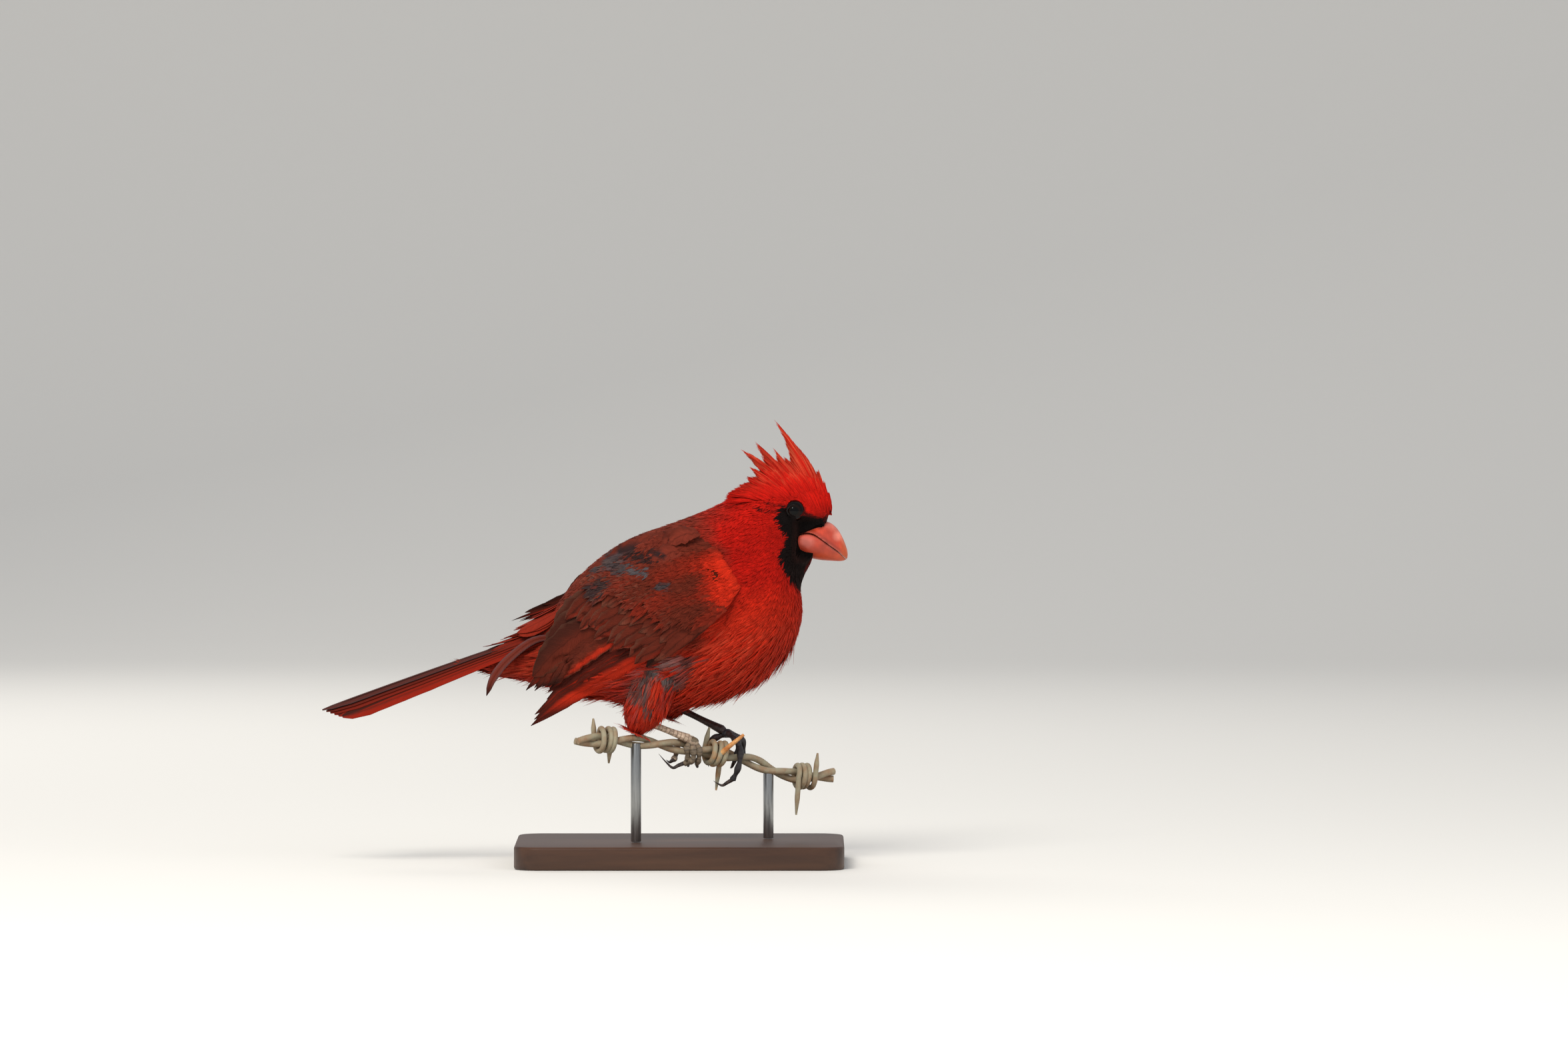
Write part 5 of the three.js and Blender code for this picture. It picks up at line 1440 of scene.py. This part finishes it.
class CARDINAL_OT_bill(bpy.types.Operator):
    """Makes the two halves of the bill, parted along the line of the mouth"""

    bl_idname = "cardinal.bill"
    bl_label = "Bill"

    def execute(self, context):
        settings = context.scene.cardinal_bare_parts
        red, shine = np.array(settings.bill[:]), np.array(settings.bill_shine[:])
        lean = math.radians(BILL_LEAN)
        up = np.array([-math.sin(lean), math.cos(lean)])
        finish = once(
            "Bill horn", worn_finish, (0.9, 0.88, 0.88), (1.0, 1.0, 1.0), 700, 0.34, relief=0.12,
            tinted=True, stretch=(1, 1, 0.4),
        )
        line_x = np.linspace(20, 54, 300)
        line = spline(MOUTH, np.linspace(0, 1, 400))
        line_z = np.interp(line_x, line[:, 0], line[:, 1])
        for name, upper in (("bill_top", True), ("bill_bottom", False)):

            def place(t, a, upper=upper):
                o = spline(BILL_OVALS, t)
                depth, wide = np.maximum(o[:, 2], 0.2), np.maximum(o[:, 3], 0.2)
                rise = depth * np.sin(a)
                rise = np.where(rise > 0, rise * blend(0.5, 1, smooth(31.5, 38, o[:, 0])), rise)
                y = wide * np.cos(a) * (1 - 0.16 * np.abs(np.sin(a)))
                x, z = o[:, 0] + up[0] * rise, o[:, 1] + up[1] * rise
                mouth = np.interp(x, line_x, line_z)
                if upper:
                    z = np.maximum(z, mouth + MOUTH_GAP)
                    y = y * (1 + 0.035 * smooth(1.4, 0.0, z - mouth))
                else:
                    z = np.minimum(z, mouth - MOUTH_GAP)
                    y = y * (1 - 0.07 * smooth(1.0, 0.0, mouth - z)) * (1.02 + 0.05 * smooth(40, 34, x))
                return np.stack([x, y, z], -1)

            def tint(p, t, a):
                x, z = p[:, 0], p[:, 2]
                over = z - np.interp(x, line_x, line_z)
                # The top of each half is painted paler towards the ridge: painted highlight.
                ridge = smooth(0.55, 1.0, np.sin(a)) * smooth(32, 40, x)
                shade = lay_over(red, shine, 0.75 * ridge)
                shade = lay_over(shade, shine, 0.5 * smooth(1.5, 0.2, np.abs(over)))
                # A dark line along the mouth: painted shade in the crease between the halves.
                shade = lay_over(shade, red * 0.25, smooth(0.32, 0.05, np.abs(over)))
                if upper:
                    # The nostril is painted as a dark dimple: painted shade of its hollow.
                    nostril = smooth(1.3, 0.5, np.hypot((x - 40.6) * 0.7, z - 87.6))
                    gleam = smooth(2.6, 0.6, np.hypot(x - 47.5, z - 84.0))
                    shade = lay_over(shade, red * 0.5, 0.7 * np.exp(-(((over - 1.1) / 0.9) ** 2)))
                    shade = lay_over(shade, red * 0.35, 0.6 * nostril)
                    shade = lay_over(shade, shine * 1.25, 0.8 * gleam)
                else:
                    # pink is a painted highlight on the lower half near the gape.
                    pink = smooth(4.6, 1.2, np.hypot(x - 35.4, (z - 82.0) * 1.3))
                    orange = smooth(79.5, 75.5, z) * smooth(34, 40, x)
                    # A darker band just under the mouth line on the lower half: painted shadow of the upper
                    # half's edge.
                    shade = lay_over(shade, red * 0.4, 0.75 * smooth(1.7, 0.2, -over) * smooth(34, 38, x))
                    shade = lay_over(shade, shine * [0.95, 0.95, 1.1], 0.5 * pink)
                    shade = lay_over(shade, hex_tint("#b84418"), 0.7 * orange)
                shade = lay_over(shade, hex_tint("#c05a20"), 0.55 * smooth(47.5, 50.5, x))
                return shade * (1 + 0.16 * ripple(p, 5, 41) + 0.07 * ripple(p, 1.6, 42))[:, None]

            piece = ball_piece(name, 72, 72, place, tint)
            finish_piece(piece, finish, ("bill_upper" if upper else "bill_lower",))
        return {"FINISHED"}


# Each leg: its shank's two ends, and each toe's path with the middle and the tip of its claw.
LEGS = {
    "right": {
        "knee": (-29.4, -10.4, 12.8), "joint": (-8.8, -6.4, 4.4),
        "toes": {
            "inner": (
                [(-8.4, -6.4, 4.2), (-6.6, -8.0, 1.4), (-6.6, -7.2, -2.4), (-7.4, -4.6, -4.8)],
                [(-7.2, -2.4, -6.0), (-6.8, 0.4, -5.0)],
            ),
            "middle": (
                [
                    (-8.8, -6.6, 4.2), (-8.8, -8.8, 1.6), (-8.7, -8.4, -2.4), (-10.6, -6.6, -4.2),
                    (-12.2, -6.0, -4.4),
                ],
                [(-16.8, -6.8, -6.2), (-22.3, -6.6, -0.7)],
            ),
            "outer": (
                [(-9.2, -6.6, 4.2), (-11.0, -8.8, 2.0), (-10.9, -8.2, -1.2), (-10.7, -5.4, -4.2)],
                [(-10.8, -3.0, -5.6), (-10.9, -0.6, -4.6)],
            ),
            "hind": (
                [
                    (-9.2, -5.6, 4.6), (-12.2, -3.4, 6.0), (-14.6, -1.2, 3.2), (-15.6, -1.8, -1.4),
                    (-16.4, -5.0, -3.2),
                ],
                [(-18.0, -3.8, -4.2), (-19.4, -2.0, -3.4)],
            ),
        },
    },
    "left": {
        "knee": (-17.9, 9.8, 17.9), "joint": (4.4, 4.2, 7.0),
        "toes": {
            "inner": (
                [(4.9, 3.6, 6.6), (8.2, 1.6, 4.6), (8.6, 3.0, 0.4), (7.2, 4.4, -4.4)],
                [(6.2, 6.0, -6.6), (5.4, 8.0, -7.2)],
            ),
            "middle": (
                [
                    (4.9, 3.4, 6.6), (7.2, 0.4, 4.8), (9.3, -1.0, 1.8), (9.4, -1.2, -3.4),
                    (8.2, -0.4, -8.0), (6.6, 0.6, -11.2),
                ],
                [(2.6, 1.6, -13.6), (-1.0, 1.6, -11.8)],
            ),
            "outer": (
                [(5.0, 4.4, 6.6), (9.8, 5.2, 4.4), (10.6, 7.4, -0.4), (9.4, 6.2, -4.6)],
                [(8.6, 5.0, -6.8), (8.2, 3.0, -7.6)],
            ),
            "hind": (
                [(4.6, 4.8, 6.4), (0.8, 5.2, 5.2), (-2.4, 5.2, 3.4), (-3.0, 5.0, -1.6)],
                [(-3.0, 3.8, -4.6), (-2.8, 1.8, -6.4)],
            ),
        },
    },
}
SHANK_RADIUS, TOE_RADIUS, TOE_END_RADIUS, CLAW_RADIUS = 1.72, 1.3, 1.05, 0.85
SHANK_SCALE, TOE_SCALE = 1.9, 1.25


class CARDINAL_OT_legs(bpy.types.Operator):
    """Makes the scaly shanks and toes and the curved claws"""

    bl_idname = "cardinal.legs"
    bl_label = "Legs"

    def execute(self, context):
        settings = context.scene.cardinal_bare_parts
        horn = once(
            "Claw horn", worn_finish, tuple(settings.claw), linear("#4a3c36"), 900, 0.3, relief=0.15
        )
        scales = once(
            "Leg scales", worn_finish, (0.75, 0.75, 0.75), (1, 1, 1), 1300, 0.5, relief=0.5, tinted=True
        )
        for side, leg in LEGS.items():
            right = side == "right"
            # The left leg's darker colours are painted shade on the far side.
            skin = np.array((settings.shank_near if right else settings.shank_far)[:])
            dark = hex_tint("#6d5f4c" if right else "#2b282b")
            knee, joint = np.array(leg["knee"]), np.array(leg["joint"])
            size = np.linalg.norm(joint - knee)

            def shank_radius(s):
                waist = 1.05 - 0.34 * np.sin(np.pi * np.minimum(s * 1.12, 1))
                return SHANK_RADIUS * waist * np.minimum(1, 3.2 * np.sqrt(1.001 - s))

            def shank(t, a):
                p = bar_at([knee, blend(knee, joint, 0.5), joint], shank_radius, t, a, flat=1.12)
                return p + self.scute(t * size, a, SHANK_SCALE, 0.12)

            def shank_tint(p, t, a):
                row = t * size / 1.5 + 0.25 * np.sin(a)
                band = np.abs(row % 1 - 0.5) * 2
                seam = np.abs((a / TAU * 5 + 0.5 * np.floor(row)) % 1 - 0.5) * 2
                net = np.maximum(smooth(0.66, 0.95, band), smooth(0.8, 0.97, seam))
                shade = lay_over(skin * 1.15, skin * [0.34, 0.27, 0.22], 0.85 * net)
                shade = lay_over(shade, dark, smooth(0.85, 1.0, t) * 0.5)
                return shade * (1 + 0.2 * ripple(p, 1.6, 51))[:, None]

            scaled = ball_piece(f"shank_scales_{side}", 36, 120, shank, shank_tint)
            finish_piece(scaled, scales, (f"shank_{side}",))
            toes = [self.toe(side, toe, skin, dark, horn) for toe in leg["toes"]]

            def ankle(t, a):
                r, z = 2.0 * np.sin(np.pi * t), -1.7 * np.cos(np.pi * t) - 0.3
                return joint + np.stack([1.1 * r * np.cos(a), r * np.sin(a), z], -1)

            toes.append(ball_piece(f"ankle_{side}", 24, 18, ankle, lambda p, t, a: plain(p, dark)))
            finish_piece(join(toes, f"toes_{side}"), scales, (f"foot_{side}",))
        return {"FINISHED"}

    def toe(self, side, toe, skin, dark, horn):
        """One scaly toe, and its claw as a piece of its own."""
        path, (mid, tip) = LEGS[side]["toes"][toe]
        count = len(path) - 1
        long = sum(np.linalg.norm(np.subtract(path[i + 1], path[i])) for i in range(count))
        darkest = 0.25 if toe == "hind" else 0.9

        def radius(s):
            joints = 1 + 0.2 * np.cos(TAU * count * 0.8 * s)
            return (TOE_RADIUS + (TOE_END_RADIUS - TOE_RADIUS) * s) * joints

        def place(t, a):
            return bar_at(path, radius, t, a) + self.scute(t * long, a, TOE_SCALE, 0.09)

        def tint(p, t, a):
            band = np.abs(((t * long / TOE_SCALE) % 1) - 0.5) * 2
            body = lay_over(skin, dark, smooth(0.0, 0.3, t) * darkest)
            shade = lay_over(body, body * 0.35, smooth(0.7, 0.95, band))
            return shade * (1 + 0.25 * ripple(p, 1.2, 53))[:, None]

        piece = ball_piece(f"toe_{side}_{toe}", 24, 72, place, tint)
        end, mid, tip = np.array(path[-1]), np.array(mid), np.array(tip)
        out, bulge = unit(mid - end), 0.12 * (mid - blend(end, tip, 0.5))
        line = [end - out * 0.4, blend(end, mid, 0.5) + out * 0.1, mid, blend(mid, tip, 0.5) + bulge, tip]
        nail = ball_piece(
            f"nail_{side}_{toe}", 20, 40,
            lambda t, a: bar_at(line, lambda s: CLAW_RADIUS * (1 - 0.95 * s**1.3), t, a, flat=1.15),
        )
        finish_piece(nail, horn, (f"claw_{side}_{toe}",))
        return piece

    def scute(self, along, a, pitch, height):
        """Overlapping scales: each starts full and sinks under the next."""
        step = (along / pitch) % 1
        push = height * (1 - step) * smooth(0.0, 0.08, step)
        return np.stack([0 * a, np.cos(a), np.sin(a)], -1) * push[:, None]


# The wire in the side view (x, z); it runs away to the bird's left as it comes forward.
WIRE_LINE = np.array([
    (-54, 5.0), (-42, 5.2), (-30, 4.2), (-19, 2.8), (-8.4, 0.6), (2, -1.2), (12, -3.6), (22, -8.0),
    (33, -10.8), (46, -10.6),
])
WIRE = np.stack([WIRE_LINE[:, 0], WIRE_LINE[:, 0] * 0.4, WIRE_LINE[:, 1]], -1)
WIRE_POINTS = 900
TWIST_LENGTH = 34
STRAND_OFFSET = 1.5
# Each barb: place along x, turns round the wire, and angle and length of its rear and its front end.
BARBS = {
    "barb_rear": (-42.5, 2.0, (100, 9), (262, 10)),
    "barb_middle": (0.2, 2.2, (80, 9), (275, 14)),
    "barb_front": (34, 2.2, (268, 15), (84, 10)),
}
BARB_RADIUS, BARB_PITCH = 1.05, 2.3
# From the wire's middle to the middle of a barb wound round it: both strands, a gap, the barb and its slack.
WINDING = 2 * 1.3 + 0.3 + BARB_RADIUS + 0.35
RUSTY_POINT = [(1.2, -3.2, -1.6), (4.5, -5.0, 1.4), (11.0, -6.5, 6.7)]


def resample(dense, at, places):
    return np.stack([np.interp(at, places, dense[:, k]) for k in range(3)], -1)


def wire_frame(dense, share):
    """Places on the wire at shares of its length, with the directions to its side and up."""
    i, places = np.clip(share, 0, 1) * (len(dense) - 1), np.arange(len(dense))
    tangent = unit(resample(np.gradient(dense, axis=0), i, places))
    side = unit(np.cross(tangent, [0, 0, 1]))
    return resample(dense, i, places), side, np.cross(side, tangent)


def round_wire(side, up, angle):
    return side * np.cos(angle)[:, None] + up * np.sin(angle)[:, None]


class CARDINAL_OT_wire(bpy.types.Operator):
    """Twists the two strands of the wire and winds its barbs"""

    bl_idname = "cardinal.wire"
    bl_label = "Barbed wire"

    def execute(self, context):
        settings = context.scene.cardinal_display
        r = settings.strand * 1000
        zinc = tuple(settings.zinc)
        finish = once(
            "Weathered zinc", worn_finish, zinc, tuple(settings.rust), 210, 0.66, spread=(0.42, 0.78),
            relief=0.9, metallic=0.15, grain=0.0004,
        )
        rusty = once(
            "Rusty cut ends", worn_finish, zinc, linear("#b07c4a"), 190, 0.72, spread=(0.44, 0.68),
            relief=0.9, metallic=0.1, grain=0.0004,
        )
        dense = spline(WIRE, np.linspace(0, 1, WIRE_POINTS))
        steps = np.concatenate([[0], np.cumsum(np.linalg.norm(np.diff(dense, axis=0), axis=1))])
        total = steps[-1]
        dense = resample(dense, np.linspace(0, total, WIRE_POINTS), steps)
        share = np.linspace(0, 1, 160)
        at, side, up = wire_frame(dense, share)
        for name, phase in (("a", 0.0), ("b", math.pi)):
            line = at + round_wire(side, up, share * total / TWIST_LENGTH * TAU + phase) * STRAND_OFFSET
            piece = ball_piece(
                f"wire_{name}", 20, 420,
                lambda t, a, line=line: bar_at(line, lambda s: r * (1 + 0.03 * np.sin(s * 90)), t, a),
            )
            finish_piece(piece, finish, (f"perch_strand_{name}",))
        for name, barb in BARBS.items():
            line = self.barb_line(dense, total, *barb)
            piece = ball_piece(
                f"{name}_wire", 16, 260,
                lambda t, a, line=line: bar_at(line, self.barb_radius, t, a, reference=(0.55, 0.83, 0.1)),
            )
            finish_piece(piece, rusty if name == "barb_middle" else finish, (name,))
        piece = ball_piece(
            "barb_point", 14, 40, lambda t, a: bar_at(RUSTY_POINT, lambda s: 1.02 - 0.45 * s**3, t, a)
        )
        bright = once(
            "Bright rust", worn_finish, linear("#a8622c"), linear("#d9a468"), 240, 0.7, spread=(0.4, 0.62),
            relief=0.5,
        )
        finish_piece(piece, bright)
        return {"FINISHED"}

    def barb_radius(self, s):
        return BARB_RADIUS * np.minimum(1, 0.35 + 22 * np.minimum(s, 1 - s))

    def barb_line(self, dense, total, x, turns, rear, front):
        """A barb's middle line: in from its rear end, round the wire and out to its front end."""
        centre = float(np.interp(x, dense[:, 0], np.linspace(0, 1, WIRE_POINTS)))
        spin = rear[0] + 90
        sweep = turns * 360 + (front[0] - 90 - spin - turns * 360) % 360
        f = np.linspace(0, 1, int(sweep / 12))
        swing = np.sin(np.pi * f)
        angle = np.radians(spin + sweep * f)
        shift = (f - 0.5) * BARB_PITCH * sweep / 360 + 0.5 * np.sin(angle * 0.5 + x) * swing
        at, side, up = wire_frame(dense, centre + shift / total)
        loose = WINDING * (1 + 0.07 * np.sin(angle * 0.7 + 2 * x) * swing)
        coil = at + round_wire(side, up, angle) * loose[:, None]
        _, side, up = wire_frame(dense, np.array(centre))
        turned = np.radians([rear[0], front[0]])
        leave = round_wire(side, up, turned)
        first, last = coil[0] + leave[0] * rear[1], coil[-1] + leave[1] * front[1]
        ends = np.linspace(0, 1, 8)[:-1, None]
        return np.concatenate([blend(first, coil[0], ends), coil, blend(last, coil[-1], ends)[::-1]])


ROD_RADIUS, ROD_CLEARANCE = 2.0, 0.6
SHARP_ANGLE = math.radians(35)


def bevel(piece, name, width, segments, method):
    bevelled = piece.modifiers.new(name, "BEVEL")
    bevelled.width, bevelled.segments, bevelled.limit_method = width, segments, method
    bpy.ops.object.modifier_apply(modifier=bevelled.name)


class CARDINAL_OT_stand(bpy.types.Operator):
    """Makes the wooden base and the two steel rods"""

    bl_idname = "cardinal.stand"
    bl_label = "Stand"

    def execute(self, context):
        settings = context.scene.cardinal_display
        low, high = (np.array(v) * 1000 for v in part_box("stand_base"))
        deselect()
        bpy.ops.mesh.primitive_cube_add(size=1)
        base = bpy.context.object
        base.name = base.data.name = "base_block"
        for v in base.data.vertices:
            v.co = Vector([(low[i] if v.co[i] < 0 else high[i]) / 1000 for i in range(3)])
        weights = base.data.attributes.new("bevel_weight_edge", "FLOAT", "EDGE")
        for edge in base.data.edges:
            a, b = (base.data.vertices[i].co for i in edge.vertices)
            weights.data[edge.index].value = 1.0 if abs(a.z - b.z) > 0.001 else 0.0
        bevel(base, "Corners", 0.010, 10, "WEIGHT")
        bevel(base, "Edges", 0.0009, 3, "ANGLE")
        bpy.ops.object.shade_smooth_by_angle(angle=SHARP_ANGLE)
        drop_maps(base.data)
        wood = once(
            "Dark wood", worn_finish, tuple(settings.wood), linear("#2c1a10"), 90, 0.42, spread=(0.35, 0.7),
            relief=0.12, stretch=(0.12, 1.6, 1.6),
        )
        finish_piece(base, wood, ("stand_base",))
        steel = once(
            "Rod steel", worn_finish, tuple(settings.steel), linear("#8b8c8b"), 1200, 0.32, relief=0.08,
            metallic=1.0, stretch=(1, 1, 0.05),
        )
        for node in ("stand_rod_rear", "stand_rod_front"):
            lo, hi = (np.array(v) * 1000 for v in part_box(node))
            height = hi[2] - lo[2] - ROD_CLEARANCE
            middle = [(lo[0] + hi[0]) / 2000, (lo[1] + hi[1]) / 2000, (lo[2] + hi[2] - ROD_CLEARANCE) / 2000]
            deselect()
            bpy.ops.mesh.primitive_cylinder_add(
                vertices=48, radius=ROD_RADIUS / 1000, depth=height / 1000, location=middle
            )
            rod = bpy.context.object
            rod.name = rod.data.name = node.replace("stand_", "") + "_steel"
            bpy.ops.object.transform_apply(location=True, rotation=True, scale=True)
            bevel(rod, "Ends", 0.0003, 2, "ANGLE")
            bpy.ops.object.shade_smooth_by_angle(angle=SHARP_ANGLE)
            finish_piece(rod, steel, (node,))
        return {"FINISHED"}


FLOOR_SIDE, FLOOR_FRONT, FLOOR_LONG = 9.0, -2.2, 5.0
BEND_START, BEND_RADIUS = 1.6, 0.9
# Each light: its name, place, size, power and colour.
LIGHTS = (
    ("key", (-0.45, -1.1, 1.35), 0.8, 26, (1, 0.97, 0.92)),
    ("fill", (1.2, -0.9, 0.7), 1.2, 8, (0.95, 0.97, 1)),
    ("rim", (-0.6, 1.1, 1.0), 0.9, 10, (1, 0.98, 0.95)),
    ("catch", (-0.5, -1.3, 1.0), 0.26, 3.4, (1, 1, 1)),
)
LIT_POINT = Vector((0, 0, 0.1))
# The camera looks at this point (millimetres) from this far off (metres) and high (degrees), and sees this
# width there.
AIM, AWAY, RAISED, SEEN_WIDTH = (26.6, 0, 89.2), 4.0, 2.0, 0.6115


class CARDINAL_OT_stage(bpy.types.Operator):
    """Sets the pale floor, the soft lights and the camera"""

    bl_idname = "cardinal.stage"
    bl_label = "Stage"

    def execute(self, context):
        settings = context.scene.cardinal_display
        self.floor(settings)
        for name, place, size, power, warmth in LIGHTS:
            light = bpy.data.lights.new(name, "AREA")
            light.size, light.energy, light.color = size, power, warmth
            lamp = bpy.data.objects.new(name, light)
            lamp.location = place
            lamp.rotation_euler = (LIT_POINT - Vector(place)).to_track_quat("-Z", "Y").to_euler()
            lamp.visible_glossy = name == "catch"
            context.scene.collection.objects.link(lamp)
        world = bpy.data.worlds.new("Soft studio")
        context.scene.world = world
        world.use_nodes = True
        sky = world.node_tree.nodes["Background"]
        sky.inputs[0].default_value, sky.inputs[1].default_value = (0.9, 0.93, 1.0, 1), 0.55
        camera = bpy.data.cameras.new("camera")
        camera.sensor_width = 36
        camera.lens = camera.sensor_width * AWAY / SEEN_WIDTH
        eye = bpy.data.objects.new("camera", camera)
        aim, raised = Vector(to_world(AIM)), math.radians(RAISED)
        eye.location = aim + Vector((0, -math.cos(raised), math.sin(raised))) * AWAY
        eye.rotation_euler = (aim - eye.location).to_track_quat("-Z", "Y").to_euler()
        context.scene.collection.objects.link(eye)
        context.scene.camera = eye
        context.scene.view_settings.view_transform = "Standard"
        return {"FINISHED"}

    def floor(self, settings):
        """A floor that bends up into a backdrop."""
        deselect()
        bpy.ops.mesh.primitive_grid_add(x_subdivisions=2, y_subdivisions=60, size=1)
        floor = bpy.context.object
        floor.name = "floor"
        for v in floor.data.vertices:
            x, y = v.co.x * FLOOR_SIDE, FLOOR_FRONT + FLOOR_LONG * (v.co.y + 0.5)
            past = max(0.0, y - BEND_START)
            angle = min(past / BEND_RADIUS, math.pi / 2)
            height = BEND_RADIUS * (1 - math.cos(angle)) + max(0, past - BEND_RADIUS * math.pi / 2)
            v.co = Vector((x, min(y, BEND_START + BEND_RADIUS * math.sin(angle)), height))
        bpy.ops.object.shade_smooth()
        material, _, _, shader = material_base("Floor", 0.85)
        shader.inputs["Base Color"].default_value = (*settings.floor, 1)
        floor.data.materials.append(material)


OPERATORS = (
    CARDINAL_OT_skin, CARDINAL_OT_coat, CARDINAL_OT_crest, CARDINAL_OT_wings, CARDINAL_OT_tail,
    CARDINAL_OT_eyes, CARDINAL_OT_bill, CARDINAL_OT_legs, CARDINAL_OT_wire, CARDINAL_OT_stand,
    CARDINAL_OT_stage,
)
GROUPS = {
    "cardinal_plumage": CARDINAL_PG_plumage,
    "cardinal_bare_parts": CARDINAL_PG_bare_parts,
    "cardinal_display": CARDINAL_PG_display,
}


class CARDINAL_PT_panel(bpy.types.Panel):
    """Lists the bird's pieces in the order in which they are made"""

    bl_idname = "CARDINAL_PT_panel"
    bl_label = "Perched Cardinal"
    bl_space_type = "VIEW_3D"
    bl_region_type = "UI"
    bl_category = "Cardinal"

    def draw(self, context):
        for name in GROUPS:
            box = self.layout.box()
            settings = getattr(context.scene, name)
            for key in settings.__annotations__:
                box.prop(settings, key)
        for operator in OPERATORS:
            self.layout.operator(operator.bl_idname)


def register():
    for group_class in GROUPS.values():
        bpy.utils.register_class(group_class)
    for name, group_class in GROUPS.items():
        setattr(bpy.types.Scene, name, PointerProperty(type=group_class))
    for operator in OPERATORS:
        bpy.utils.register_class(operator)
    bpy.utils.register_class(CARDINAL_PT_panel)


def unregister():
    bpy.utils.unregister_class(CARDINAL_PT_panel)
    for operator in reversed(OPERATORS):
        bpy.utils.unregister_class(operator)
    for name, group_class in GROUPS.items():
        delattr(bpy.types.Scene, name)
        bpy.utils.unregister_class(group_class)


def main():
    register()
    for operator in OPERATORS:
        group_name, call = operator.bl_idname.split(".")
        result = getattr(getattr(bpy.ops, group_name), call)()
        if "FINISHED" not in result:
            raise RuntimeError(f"{operator.bl_label} was not made")


if __name__ == "__main__":
    main()
